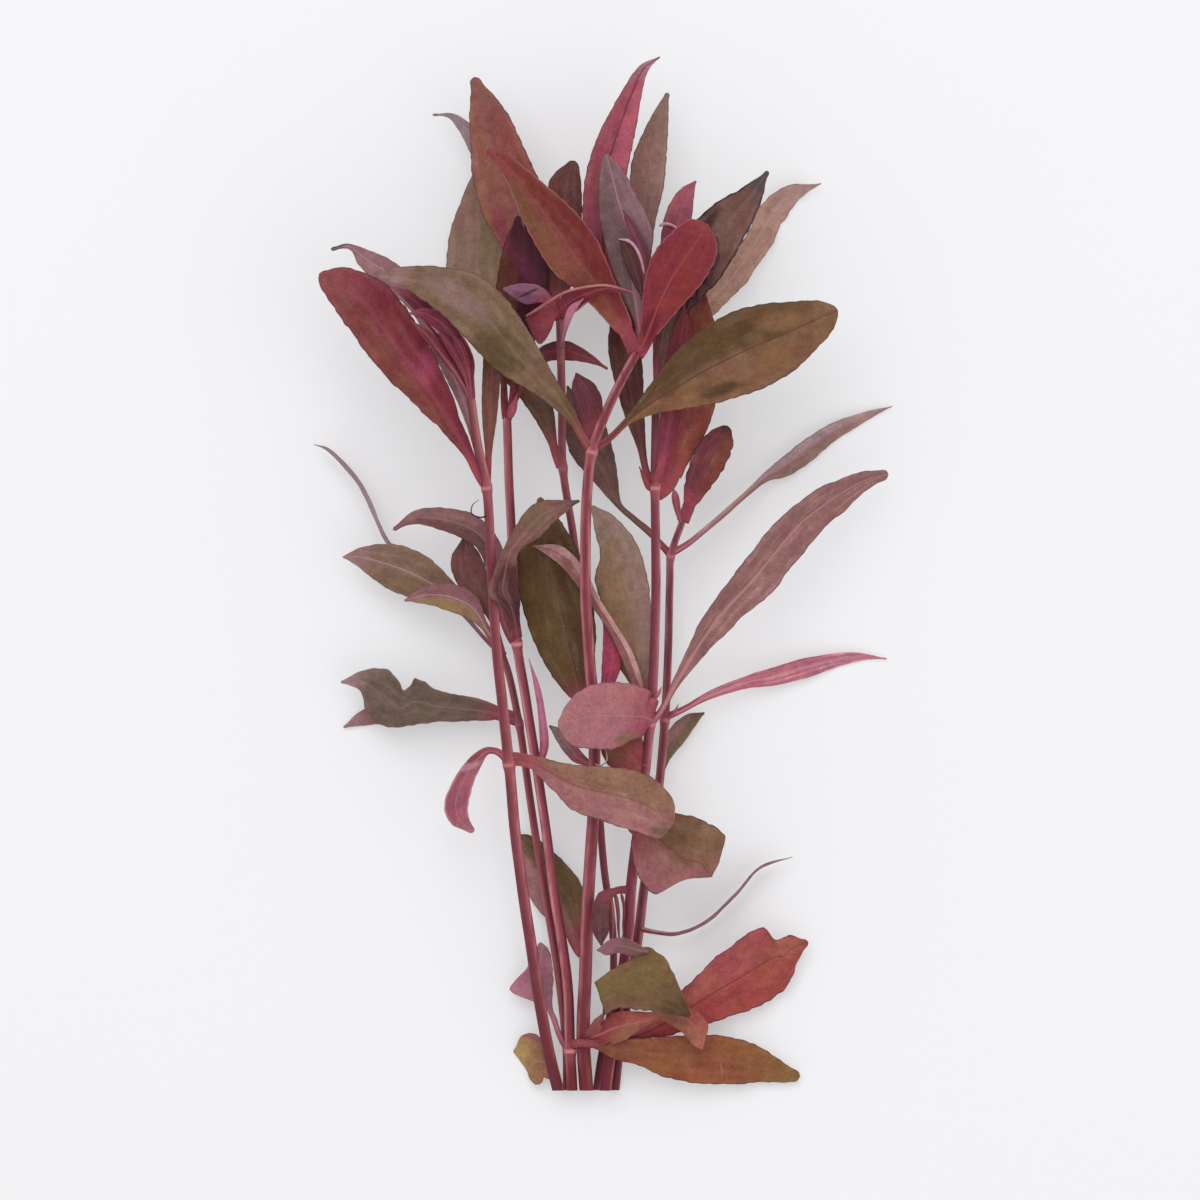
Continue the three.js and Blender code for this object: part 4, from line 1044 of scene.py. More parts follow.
    def _thick(self, grid: Grid, stalk: Array) -> Array:
        """The thickness at each corner. Args: grid. stalk: The spine's, one under the other. Returns: In mm."""
        foot, head = self.STALK_THICK
        end = foot + (head - foot) * grid.shares + self.CLASP_THICK * stalk**2
        rib = end + (self.RIB_THICK * (1 - 0.45 * grid.shares) - end) * grid.broad
        blade = end + (self.BLADE_THICK - end) * grid.broad
        thick = blade + (rib - blade) * np.exp(-((grid.rib_mm / 0.5) ** 2))
        return thick * np.sqrt(np.maximum(1 - np.abs(grid.across) ** (2 + 9 * grid.broad), 0))

    @staticmethod
    def _waves(grid: Grid, pitch: float, random: np.random.Generator) -> tuple[Array, Array]:
        """Two uneven waves along the leaf.

        Args:
            grid: The upper face.
            pitch: From one wave to the next, in millimetres.
            random: The leaf's own random numbers.

        Returns:
            -1 to 1 at each row, twice.
        """
        turns = grid.travelled / pitch * 2 * np.pi

        def wave() -> Array:
            """One of the two, with its own shifts."""
            shifts = random.uniform(0, 2 * np.pi, 3)
            first, second = np.sin(turns + shifts[0]), np.sin(turns * 1.7 + shifts[1])
            return 0.6 * first + 0.3 * second + 0.2 * np.sin(turns * 2.9 + shifts[2])

        return wave(), wave()

    def _depth(self, grid: Grid, sink: Array, vein: Array, random: np.random.Generator) -> Array:
        """How high the blade lies over its spine at each corner.

        Args:
            grid: The upper face.
            sink: How deep the midrib lies at each row.
            vein: The count of the side veins.
            random: The leaf's own random numbers.

        Returns:
            Millimetres, from the crease, the margins' waves, the quilting and a slow warp.
        """
        relief, across = self.relief, grid.across
        depth = -sink * grid.off_edge**1.15
        wave = np.where(across < 0, *self._waves(grid, relief.pitch, random)) * np.abs(across) ** 2.2
        depth += relief.wave * grid.sway * wave
        swell = np.sin(np.pi * (vein % 1.0)) ** 2
        quilt = relief.quilt * grid.sway * swell
        depth += quilt * ease(np.abs(grid.rib_mm), 0.2, 1.4) * ease(grid.edge_mm, 0.1, 1.6)
        arch, twist = self._waves(grid, self.SLOW_PITCH, random)
        return depth + self.SLOW_RISE * grid.sway * (arch * grid.off_edge + twist * across * 0.6)

    def _wide(self, grid: Grid, random: np.random.Generator) -> Array:
        """How far each corner is from the midrib, with uneven margins. Args: grid, random. Returns: In mm."""
        across = grid.across
        frill = self.relief.frill * np.where(across < 0, *self._waves(grid, self.FRILL_PITCH, random))
        return grid.rib_mm + frill * np.sign(across) * np.abs(across) ** 7 * grid.sway

    def skin(self, hold: Hold | None) -> Skin:
        """The leaf's rings, from its foot to its tip.

        Args:
            hold: The nearest place of a stem, or None where no stem is near.

        Returns:
            The rings with the values that its finish reads.
        """
        random = np.random.default_rng(zlib.crc32(self.name.encode()))
        spine = self._spine(hold)
        grid = self._grid(spine)
        vein = self._vein(grid, random)
        depth = self._depth(grid, spine.sink[:, None], vein, random)
        wide = self._wide(grid, random)
        thick = self._thick(grid, spine.stalk[:, None])
        groove = self.GROOVE * np.exp(-((grid.rib_mm / self.GROOVE_HALF) ** 2)) * grid.broad
        normal = unit(np.cross(spine.across, spine.along))
        flat = spine.middles[:, None, :] + wide[:, :, None] * spine.across[:, None, :]
        top = flat + (depth + thick * (self.ABOVE - groove))[:, :, None] * normal[:, None, :]
        low = flat + (depth - thick * self.BELOW)[:, :, None] * normal[:, None, :]
        back = slice(-2, 0, -1)

        def both(upper: Array, under: Array | None = None) -> Array:
            """Both faces' columns. Args: upper, under: Of each face, or of both. Returns: Ring by ring."""
            return np.concatenate((upper, (upper if under is None else under)[:, back]), axis=1)

        one = np.ones_like(grid.across)
        face = both(one, 0 * one)
        face[:, 0] = face[:, one.shape[1] - 1] = 0.5
        values = {
            "share": both(grid.shares * one),
            "across": both(grid.across),
            "rib_mm": both(grid.rib_mm),
            "edge_mm": both(grid.edge_mm * grid.broad + 3 * (1 - grid.broad)),
            "vein": both(vein),
            "face": face,
            "foot_mm": both(grid.travelled * one),
        }
        return Skin(both(top, low), values, (0.0, self.TIP_STANDS_OUT))


@dataclass(frozen=True)
class Stem:
    """One stem from its cut foot to its top.

    Attributes:
        name: The stem's name.
        radius: At the foot and at the top.
        points: Its middle line.
        nodes: Which points are joints.
        look: Its finish.
    """

    name: str
    radius: tuple[float, float]
    points: tuple[Point, ...]
    nodes: tuple[int, ...]
    look: StemLook

    SIDES = 28
    PITCH, FINE, NEAR = 1.1, 0.22, 2.6
    SWELL, SWELL_REACH = 0.27, 1.25
    RIDGE, RIDGE_AT, RIDGE_REACH = 0.05, 0.5, 0.22
    SCAR, SCAR_AT, SCAR_REACH = 0.06, 0.05, 0.16
    TOP_ROUND, TOP_STANDS_OUT = 1.1, 0.1
    CAP = (0.25, 0.55, 0.8, 0.95, 0.985)
    CUT_EDGE = 0.05
    # Widths in degrees of the painted rim light and the painted shade round a stem.
    PALE_WIDTH, SHADE_WIDTH = 24.0, 40.0
    DRIFT, DRIFT_ROWS = 0.15, 23.0

    @property
    def line(self) -> SmoothLine:
        """The middle line."""
        return SmoothLine(self.points)

    def _places(self, line: SmoothLine) -> tuple[Array, Array]:
        """Where the rings are, closer together near the joints and the ends.

        Args:
            line: The middle line.

        Returns:
            How far each ring is from the foot and how far it is past the nearest joint.
        """
        spots = [node / (len(self.points) - 1) for node in self.nodes]
        joints = np.interp(spots, line.places, line.lengths)
        found = [0.0]
        while found[-1] < line.length:
            here = found[-1]
            fine = np.abs(joints - here).min() < self.NEAR or line.length - here < 2.0 or here < 0.4
            found.append(min(here + (self.FINE if fine else self.PITCH), line.length))
        run = np.array(found)
        offsets = run[:, None] - joints[None, :]
        return run, offsets[np.arange(len(run)), np.abs(offsets).argmin(axis=1)]

    def _radii(self, places: Array, joint: Array, left: Array) -> Array:
        """Each ring's radius, with a swelling, a scar and a ridge at each joint.

        Args:
            places: 0 at the foot, 1 at the top.
            joint: How far past the nearest joint.
            left: How far from the top.

        Returns:
            Millimetres.
        """
        swell = self.SWELL * np.exp(-((joint / self.SWELL_REACH) ** 2))
        swell = swell + self.RIDGE * np.exp(-(((joint - self.RIDGE_AT) / self.RIDGE_REACH) ** 2))
        swell -= self.SCAR * np.exp(-(((joint - self.SCAR_AT) / self.SCAR_REACH) ** 2))
        size = (self.radius[0] + (self.radius[1] - self.radius[0]) * places) * (1 + swell)
        return size * np.sqrt(np.clip(1 - (1 - np.minimum(left / self.TOP_ROUND, 1)) ** 2, 0.02, 1))

    @staticmethod
    def _grooves(run: Array, angles: Array, shifts: Array) -> Array:
        """How much each corner stands out. Args: run, angles: Of each ring and side. shifts. Returns: Shares."""
        grooves = 0.022 * np.sin(9 * angles + shifts[0] + 0.5 * np.sin(run / 17))
        grooves = grooves + 0.03 * np.cos(2 * angles + shifts[1] + 0.8 * np.sin(run / 31))
        return grooves + 0.018 * np.sin(run / 3.3 + shifts[2]) * np.cos(angles + shifts[3])

    def skin(self) -> Skin:
        """The stem's rings. Returns: The rings with their values."""
        shifts = np.random.default_rng(zlib.crc32(self.name.encode())).uniform(0, 2 * np.pi, 4)
        line = self.line
        run, joint = self._places(line)
        places = np.interp(run, line.lengths, line.places)
        middles = line.at(places)
        along = unit(np.gradient(middles, run, axis=0))
        across = unit(np.cross((0.0, 0.0, 1.0), along))
        angles = rounds(self.SIDES)
        size = self._radii(places, joint, line.length - run)[:, None]
        size = size * (1 + self._grooves(run[:, None], angles[None, :], shifts))
        rings = tube(middles, across, np.cross(along, across), size)
        foot = rings[0] - along[0] * (rings[0][:, 1] / along[0][1])[:, None]
        middle = foot.mean(axis=0)
        cap = [middle + (foot - middle) * part for part in self.CAP]
        edge = foot + along[0] * self.CUT_EDGE
        rings = np.concatenate((cap, foot[None], edge[None], rings[2:]), axis=0)
        rows = len(rings)

        def grown(row: Array, first: float) -> Array:
            """A value for each corner. Args: row: Of the rings. first: On the cut. Returns: The grid."""
            full = np.concatenate((np.full(rows - len(row[2:]), first), row[2:]))
            return full[:, None] * np.ones(self.SIDES)[None, :]

        def streaks(spots: tuple[float, ...], width: float) -> Array:
            """How near each corner is to a streak. Args: spots, width: In degrees. Returns: 0 to 1."""
            found = np.zeros((rows, self.SIDES))
            drift = self.DRIFT * np.sin(np.arange(rows) / self.DRIFT_ROWS + shifts[1])[:, None]
            for spot in spots:
                off = np.abs((angles[None, :] - math.radians(spot) + drift + np.pi) % (2 * np.pi) - np.pi)
                found = np.maximum(found, np.exp(-((off / math.radians(width)) ** 2)))
            return found

        cut = np.zeros((rows, self.SIDES))
        cut[: len(cap)] = 1.0
        values = {
            "share": grown(places, 0.0),
            "joint_mm": grown(joint, float(joint[0])),
            # pale is painted rim light down the stem's edges and shade is painted shade over its top, both kept off
            # the cut.
            "pale": streaks(self.look.rim_light_at, self.PALE_WIDTH) * (1 - cut),
            "shade": streaks(self.look.shade_at, self.SHADE_WIDTH) * (1 - cut),
            "cut": cut,
        }
        return Skin(rings, values, (0.0, self.TOP_STANDS_OUT))


@dataclass(frozen=True)
class Strand:
    """A thin thread or a small pointed bud on a stem or a leaf.

    Attributes:
        name: The piece's name.
        node: The solid that it belongs to.
        radius: At its thickest, in millimetres.
        points: Its middle line.
        tint: Its colour.
        slot: The record's slot.
        bud: True where it swells in its middle as a bud does.
        knobs: How much its thickness goes up and down, as a share of it.
    """

    name: str
    node: str
    radius: float
    points: tuple[Point, ...]
    tint: Rgb
    slot: Slot
    bud: bool = False
    knobs: float = 0.0

    SIDES = 12
    PITCH, LEAST_ROWS = 0.3, 10
    KNOB_PITCH = 2.3
    BUD_LEAST = 0.05
    ENDS = (0.05, 0.1)
    FAR_FROM_LINES = 5.0
    FAR_FROM_FOOT = 20.0

    def _radii(self, shares: Array, length: float) -> Array:
        """Each ring's radius. Args: shares: 0 at the foot, 1 at the tip. length. Returns: Millimetres."""
        if self.bud:
            size = self.radius * (0.35 + 0.65 * np.sin(np.pi * shares**0.7)) * (1 - shares**4) + self.BUD_LEAST
        else:
            size = self.radius * (1 - 0.75 * shares**2) * np.minimum(1, 0.3 + 6 * shares)
        return size * (1 + self.knobs * np.sin(shares * length / self.KNOB_PITCH * 2 * np.pi))

    def skin(self) -> Skin:
        """The rings along the strand. Returns: Them with the values that a leaf's finish reads."""
        line = SmoothLine(self.points)
        rows = max(self.LEAST_ROWS, int(line.length / self.PITCH))
        shares = np.linspace(0, 1, rows)
        middles = line.along(shares)
        along = unit(np.gradient(middles, axis=0))
        across = [unit(np.cross(along[0], (0.3, 0.2, 0.93)))]
        for way in along[1:]:
            across.append(unit(across[-1] - way * float(across[-1] @ way)))
        sides = np.array(across)
        flat = np.ones((rows, self.SIDES))
        rings = tube(middles, sides, np.cross(along, sides), self._radii(shares, line.length)[:, None] * flat)
        values = {
            "share": shares[:, None] * flat,
            "across": np.cos(rounds(self.SIDES))[None, :] * flat,
            "rib_mm": self.FAR_FROM_LINES * flat,
            "edge_mm": self.FAR_FROM_LINES * flat,
            "vein": 0.5 * flat,
            "face": flat,
            "foot_mm": self.FAR_FROM_FOOT * flat,
        }
        return Skin(rings, values, self.ENDS)


STEMS = (
    Stem("front_left_stem", (1.45, 1.1), ((-10.5, 0, 5.6), (-13.5, 13, 8), (-17.5, 38, 13), (-21, 63, 18),
        (-22.75, 82, 22), (-24.5, 98, 25), (-26, 113, 27.4), (-27.25, 133, 30), (-28.25, 151, 32.6),
        (-30.6, 162, 34), (-32.25, 173.6, 35)), (4, 8),
        StemLook(Slot.RED_STEM, 0x661B22, 0x914B52, 0x885055, 0xC3777D, 0x692C38, 0xA9575F, rim_light_at=(150,),
        shade_at=(60,))),
    # thin_left_stem: its tones are lighter than its own dark red, painted light that offsets the shade the other
    # stems cast on it.
    Stem("thin_left_stem", (1.05, 0.9), ((-8.3, 0, 1.4), (-8.4, 10, 2.4), (-10.25, 28, 4.2), (-13.5, 48, 6.2),
        (-16.75, 68, 8), (-20.25, 92, 10.4), (-23, 105, 12.2), (-25, 110.5, 13)), (5,),
        StemLook(Slot.DARK_STEM, 0x752429, 0x9D5258, 0x8F5658, 0xA65F67, 0x6C333F, 0x985459, rim_light_at=(35,),
        shade_at=(110,))),
    Stem("rear_left_stem", (1.35, 1.05), ((-7, 0, 5.8), (-7.5, 10, 6.9), (-8.25, 28, 8.6), (-11.25, 48, 10.4),
        (-14.25, 70.5, 12.6), (-18.5, 98, 16.4), (-20.75, 112, 18.2), (-21.6, 129, 20), (-22.75, 153, 22.2),
        (-23.25, 169, 23.4)), (1, 6),
        StemLook(Slot.RED_STEM, 0x691A22, 0x934752, 0x954F56, 0xD38E94, 0x6B2938, 0xB35B65, rim_light_at=(38,),
        shade_at=(140,))),
    Stem("centre_stem", (1.75, 1.1), ((-3.4, 0, 5.6), (-4.2, 13, 8.2), (-3.7, 28, 10.8), (-3, 48, 14),
        (-1.6, 72, 18), (-1.5, 95, 22), (-2.6, 108, 23.8), (-3.6, 126, 26), (-3.2, 150, 28.6), (-2, 160, 29.6),
        (2.5, 172, 30.8), (9.25, 185, 32)), (5, 9),
        StemLook(Slot.RED_STEM, 0x681A20, 0x91474E, 0x783C40, 0xC67D83, 0x6D2A36, 0xB45F67, rim_light_at=(36, 150),
        shade_at=(92,))),
    # rear_centre_stem: its tones are lighter than its own dark red, painted light that offsets the shade the other
    # stems cast on it.
    Stem("rear_centre_stem", (0.85, 1.05), ((-1, 0, 1.1), (0.2, 8, 2), (3, 23, 3.6), (3.2, 40, 5), (1, 56, 6.4),
        (-1, 83, 8.4), (-3, 110.5, 11), (-6.5, 138, 14), (-9.25, 156, 16), (-9.5, 172, 20.5), (-10, 194, 28)), (8,),
        StemLook(Slot.DARK_STEM, 0x732228, 0x9A4F56, 0x96565B, 0xA25A64, 0x67313D, 0x985459, rim_light_at=(150,),
        shade_at=(70,))),
    Stem("right_stem", (1.5, 1.1), ((1.3, 0, 6), (3, 12, 8.1), (7, 39, 11.8), (8, 53, 13.6), (10.2, 71, 16),
        (12.5, 92, 19), (13.5, 108, 21), (14, 128, 23.2), (13.75, 151, 25.6), (14, 172.6, 27.4)), (4, 5, 8),
        StemLook(Slot.RED_STEM, 0x681A20, 0x8A434D, 0x80464A, 0xC98189, 0x69293A, 0xB45F68, rim_light_at=(148,),
        shade_at=(60,))),
    Stem("far_right_stem", (1.3, 0.85), ((3.6, 0, 1.5), (5, 12, 2.6), (9.5, 38, 4.8), (11, 50.5, 5.9), (14.2, 71, 8),
        (16.25, 93, 10), (17, 108, 11.4), (17.5, 128, 13.8), (17.75, 134, 14.6), (20.75, 143, 16.4)), (5, 8),
        StemLook(Slot.RED_STEM, 0x631A1F, 0x84494F, 0x7E5357, 0xC0767D, 0x652936, 0xAF5B63, rim_light_at=(35, 150),
        shade_at=(90,))),
)

LEAVES = (
    Leaf("mustard_foot_leaf", (-12.6, 7.2, 5), (-21.75, 9.75, 0.7), ((-13.4, 3, 4), (-16.2, 1.4, 2.6),
        (-18.6, 5, 0.8)), ((-13.8, 12.3, 4.6), (-18.75, 14.3, 2.6)), -0.5,
        LeafLook(Slot.MUSTARD, 0xAC8654, 0x8C5C4C, 0xB28E60, 0xBE966E, patches=(Patch((-15.5, 13.4),
        (7, 1.5), 0x965C68, -15, 0.9), Patch((-20, 8), (2, 4), 0xBA9C64, 0, 0.6)), pleats=0.1, stalk=0x9C7054),
        Relief(0.8, 0.5, 0.75, 0.25)),
    Leaf("mauve_foot_leaf", (-9.5, 11.4, 6.4), (-15, 37.2, 5.4), ((-13.2, 20.5, 6), (-17.5, 22.6, 5),
        (-22.6, 25.2, 4), (-18.2, 31, 4.6)), ((-11.9, 21.4, 5.8), (-11.7, 29.3, 5.4), (-13, 35.6, 5.2)), 0.6,
        LeafLook(Slot.MAUVE, 0xB87C8A, 0x965F69, 0xA5787D, 0xC8969B, 0x8C6469, veins=0.35, left=0xBA7884,
        right=0xA06A76), Relief(0.7, 0.5)),
    Leaf("low_olive_leaf", (-5, 37, 9), (-21.5, 64.2, 1.6), ((-8, 37.8, 6.4), (-13, 42.5, 3.2), (-17.5, 48, 1.4),
        (-21.2, 56, 0.7)), ((-3.9, 50, 5.6), (-8, 56.2, 4), (-13, 61, 2.6), (-17.5, 64, 2)), 0.5,
        LeafLook(Slot.OLIVE, 0x765C3E, 0x784646, 0x6E5842, 0x966964, 0x5F4B3C, left=0xBA8286)),
    Leaf("drooping_pink_leaf", (-24.9, 82.8, 22.4), (-31.5, 65, 19), ((-27.6, 84.6, 23), (-29.8, 81.4, 22.4),
        (-32.4, 74.4, 21), (-33, 70, 20)), ((-27.5, 86.2, 24), (-32, 84.2, 24.6), (-36, 79, 24), (-39, 71.6, 22),
        (-37, 66.8, 20)), 0.8, LeafLook(Slot.PINK, 0xA55C6A, 0x8C4B58, 0xA86E76, 0xC88C96, 0xCD96A2, rim_share=0.75,
        rim_width=0.7, patches=(Patch((-32.5, 81.5), (4.5, 1.1), 0xD7A0AF, 20, 0.7),)), Relief(0.9, 0.4, 0.8)),
    Leaf("rear_pink_leaf", (-21.7, 94.2, 8.6), (-64.4, 91, 1), ((-30, 95, 5.6), (-44, 93.5, 2.6), (-56, 91.8, 0.8)),
        ((-30, 98.2, 6.2), (-42, 99.4, 3.6), (-52, 98.4, 2), (-60.5, 94.9, 1.2)), 0.4,
        LeafLook(Slot.PINK, 0xA07074, 0x915862, 0xA87D80, 0xB98C91, 0x825A5F)),
    Leaf("wavy_grey_leaf", (-21.9, 93, 10.8), (-65, 102.4, 8), ((-25.75, 92.9, 11), (-33.75, 92.6, 11.4),
        (-42.5, 92.3, 11), (-51.25, 91.1, 9.6), (-56.4, 92.3, 8.4), (-58.9, 96.4, 7.4), (-60.5, 100.4, 7.4)),
        ((-26.25, 96.6, 12.6), (-35, 99.2, 13.4), (-41.6, 100.8, 13.6), (-44.2, 102.8, 14.2), (-46.2, 103.6, 13.8),
        (-47.6, 101.6, 12.4), (-49.2, 100.3, 11.6), (-50.2, 102.6, 12.6), (-52.4, 105, 12.4), (-55.6, 106, 10.8),
        (-60, 105.2, 9.4)), 0.7, LeafLook(Slot.OLIVE_BROWN, 0x705C50, 0x8C6064, 0xAF888C, 0xA57D7D, 0x967676,
        rim_share=0.4), Relief(0.5, 0.7, 0.75, 0.12, pitch=8)),
    Leaf("thin_left_leaf", (-26.4, 110.4, 11), (-71.75, 162, 5), ((-37.2, 121.6, 6.6), (-45.3, 128.2, 4),
        (-53.5, 137, 1.6), (-60.5, 151.4, 0.4), (-68.4, 160.3, 2.4)), ((-36.6, 122.6, 8.4), (-44.8, 129, 8.6),
        (-52.9, 137.7, 8.6), (-59.6, 151.9, 8.2), (-68, 161, 6.6)), 0.3,
        LeafLook(Slot.MAUVE, 0xB09296, 0xAA6478, 0xAA8C91, 0x966973, 0x8C6E73, rib_share=0.5, veins=0.15),
        Relief(0.15, 0.1, 0.5, 0.03)),
    Leaf("left_olive_leaf", (-26.2, 112, 13), (-64.5, 133.75, 9), ((-31, 117, 12.4), (-38, 121, 12),
        (-45, 122.8, 11.4), (-54, 126.2, 10), (-60, 130.9, 9)), ((-29.5, 118.8, 12.8), (-36, 126.8, 13.2),
        (-42.5, 133.25, 13.4), (-50, 136.8, 12.6), (-60, 136.2, 10.4)), 0.8,
        LeafLook(Slot.OLIVE_BROWN, 0x8A6C5A, 0x7D5050, 0xA57E82, 0xC39696, 0x967373, left=0x826450, rib_share=0.75,
        rib_width=0.6, veins=0.25), Relief(0.4, 0.5)),
    Leaf("left_dark_leaf", (-25.3, 112.4, 14.6), (-33.6, 139.4, 18), ((-28.5, 119, 15.6), (-33, 123.5, 15.8),
        (-36.5, 128.5, 16.2), (-37.25, 133.5, 17)), ((-25.6, 119.5, 15.8), (-27, 126, 16.6),
        (-29.6, 133.5, 17.4)), 0.6, LeafLook(Slot.DARK_BROWN, 0x7C4F4B, 0x6E3C42, 0x704844, 0x966466, 0x503436),
        Relief(0.8)),
    Leaf("left_folded_leaf", (-26.2, 112.6, 16.4), (-49, 122.75, 17.4), ((-29.2, 115.6, 17.6), (-32, 117.8, 18.4),
        (-38, 120.3, 18.6), (-45, 122.2, 17.8)), ((-28.3, 116.6, 17.8), (-30.6, 123.8, 19.6), (-36, 126.9, 20.4),
        (-42, 126.8, 20), (-46, 125.2, 18.8)), 0.6,
        LeafLook(Slot.MAUVE, 0x96666A, 0x8C5850, 0x966C70, 0xCE9C9E, 0x6E4B50, patches=(Patch((-40, 121.4),
        (6, 1.6), 0xA08054, -12),), left=0x987854, right=0x966268, rib_share=0.7, rib_width=0.4),
        Relief(0.4, 0.6, 1)),
    Leaf("left_arched_leaf", (-22.7, 113.4, 18.6), (-51.75, 140.5, 20.4), ((-26.4, 121, 19), (-27.8, 126.8, 19.4),
        (-29, 132.4, 20.2), (-31.4, 136.6, 21), (-36.5, 139.2, 21.7), (-40, 140.6, 22), (-46.25, 141.9, 21.6)),
        ((-23.6, 124, 20), (-24.4, 136, 21.6), (-28, 141.7, 22.8), (-34, 145.3, 23.8), (-46.25, 145.4, 22.8)), -0.5,
        LeafLook(Slot.MAUVE, 0x845856, 0x87525A, 0x8E6464, 0xB4878C, 0x78545A, right=0x946667, left=0x744C4A,
        patches=(Patch((-25.6, 128), (7, 3), 0x603A3A, 75),)), Relief(0.6, 0.5, 1.1)),
    # bent_band_leaf: its second patch, dark maroon over the lower blade, is painted shade on that turned part.
    Leaf("bent_band_leaf", (-20.8, 114.2, 21), (-5, 147.8, 26), ((-23.4, 119.6, 28), (-25.2, 122, 31.6),
        (-28, 124.5, 33.4), (-26.4, 130.5, 33.8), (-19.4, 144, 30), (-15.2, 147.6, 28)), ((-20, 120, 25),
        (-20.2, 127, 30), (-20.4, 134.6, 30.6), (-15, 138.8, 28.6), (-10.75, 143, 27)), 0.5,
        LeafLook(Slot.RED_BROWN, 0x865A56, 0x683438, 0x554648, 0xA57874, 0x644644, ends=(0.25, 0.86),
        patches=(Patch((-17, 145), (6, 6), 0x7E644C, 0, 0.85), Patch((-22, 124.4),
        (9.5, 5), 0x562C30, 100, 0.95, 0.4))), Relief(stalk=1.2)),
    Leaf("hanging_olive_leaf", (-3.5, 95.8, 20.8), (-15, 148.75, 18.6), ((-7.4, 98.4, 19), (-13.75, 106.8, 16.4),
        (-18.5, 118, 15.6), (-20.6, 128, 16), (-20, 137.5, 17.4)), ((-2.2, 103, 19.4), (-1, 114, 17.2),
        (-2.2, 124, 16.8), (-5.4, 135, 17.6), (-10, 143, 18.4)), 0.8,
        LeafLook(Slot.OLIVE, 0x64482A, 0x603E2A, 0x826640, 0x8C5C4E, 0x4E382A, right=0x563B24), Relief(0.9, 0.5)),
    Leaf("narrow_centre_leaf", (11, 94.8, 19.8), (-16.75, 136.6, 22), ((8.4, 100.6, 20), (4.9, 109.6, 20),
        (1.4, 116.4, 20.2), (-1.8, 121, 20.4), (-4.75, 125.2, 20.8), (-10, 131.7, 21.2)), ((10.6, 102.4, 20.2),
        (7.9, 110.4, 20.4), (3.4, 117.8, 20.6), (0, 123.2, 20.8), (-4.4, 131.6, 21.5), (-10, 136.6, 21.8)), 0.3,
        LeafLook(Slot.PINK, 0x9C6864, 0xB07E7C, 0xB08280, 0x825046, 0x7D5046, rib_share=0.6, rim_share=0.55,
        veins=0.15, left=0x8C5856, right=0xCE9E9C), Relief(0.3, 0.4, 1)),
    Leaf("tan_centre_leaf", (11.2, 95.6, 17), (-2.3, 146.6, 15), ((8.6, 100.4, 16.4), (4.4, 107, 15.6),
        (1.75, 118, 15), (-1.25, 128, 15), (0, 134.4, 15.2), (-1.25, 140, 15.4)), ((12, 101.4, 16.8),
        (12.9, 112, 17.2), (12.5, 124.25, 17.4), (10.5, 134, 17.2), (7.5, 139.75, 16.6), (2.5, 144.75, 15.8)), 0.8,
        LeafLook(Slot.TAN, 0x947458, 0x8C6058, 0xA08880, 0xAC7058, 0x735A4B, right=0xA28078, ends=(0.25, 0.68)),
        Relief(0.8, 0.5, 1.1)),
    Leaf("pink_centre_leaf", (10.2, 92.8, 21.6), (-10.5, 91.6, 33), ((9.4, 90, 23), (4.5, 86, 26.4),
        (-1.25, 85.8, 29.4), (-7.5, 87, 31.8)), ((14, 98.6, 23.4), (11.25, 101, 24), (3.75, 102.5, 26.6),
        (-3.75, 101.2, 29.4), (-8.4, 96.75, 31.8)), -1,
        LeafLook(Slot.PINK, 0xB07078, 0xA05F69, 0xAA7378, 0xC48A8E, 0x8C5A62, veins=0.35, patches=(Patch((7, 88.5),
        (4, 2.4), 0x8A6C50, 0, 0.75),), pleats=0.1), Relief(2.2, 0.5, 0.75, 0.2)),
    Leaf("big_low_leaf", (-20.6, 83.2, 23), (18.6, 67.8, 32), ((-16.25, 84, 24.8), (-8.75, 82.2, 27),
        (0, 81.5, 29.4), (8.75, 80.5, 31.2), (15, 77.25, 32.2), (18.4, 72.6, 32.6)), ((-17.5, 81, 23.8),
        (-12.5, 76.25, 24.8), (-7.5, 71, 26), (0, 68, 28), (8.75, 65.25, 29.6), (15, 63.6, 30.8)), 1.2,
        LeafLook(Slot.OLIVE_BROWN, 0xA07061, 0xAF5669, 0x96645F, 0x96504B, 0x6E5048, left=0x986E58, right=0xA56A6E,
        rib_share=0.6, ends=(0.22, 0.8), patches=(Patch((15.5, 65.5), (3.5, 2.2), 0x785F42),)), Relief(2.2, 0.7, 1)),
    Leaf("curled_low_leaf", (10.4, 68.8, 18.4), (28, 53.8, 24), ((18, 69.8, 22), (26.25, 67.75, 25), (31, 64.3, 27),
        (29.75, 58, 26)), ((8, 65.2, 19.4), (8.25, 58, 19.4), (10.5, 52.6, 19), (13.25, 49.4, 19.4),
        (21, 53, 21.4)), 1, LeafLook(Slot.RED_BROWN, 0x865A44, 0x8C5F50, 0x966260, 0x7D4E42, 0x70504A, left=0x87654C,
        rib_share=0.65, right=0xA6686C), Relief(0.8, 0.8, 0.75, 0.25)),
    Leaf("long_right_leaf", (14.4, 93.2, 20.4), (72.2, 154.4, 14), ((19, 104.6, 22.2), (22.5, 112.4, 24),
        (27.5, 121.6, 25.4), (33, 128.6, 26.4), (40, 138, 26.6), (51.25, 148.75, 24.4), (66, 155.2, 18)),
        ((19.6, 101.4, 21.2), (25, 107.8, 21), (34, 117.2, 21), (43, 125, 21), (53, 137.5, 20), (62.4, 146.6, 16.6),
        (70.4, 153.2, 14.4)), 1, LeafLook(Slot.PINK, 0x966A66, 0x965C62, 0x966C68, 0xC88E90, 0x694846, rib_share=0.8,
        pleats=0.45, pleat=0xC49094, rib_width=0.7), Relief(1.6, 0.55, 0.75, 0.1, pitch=15)),
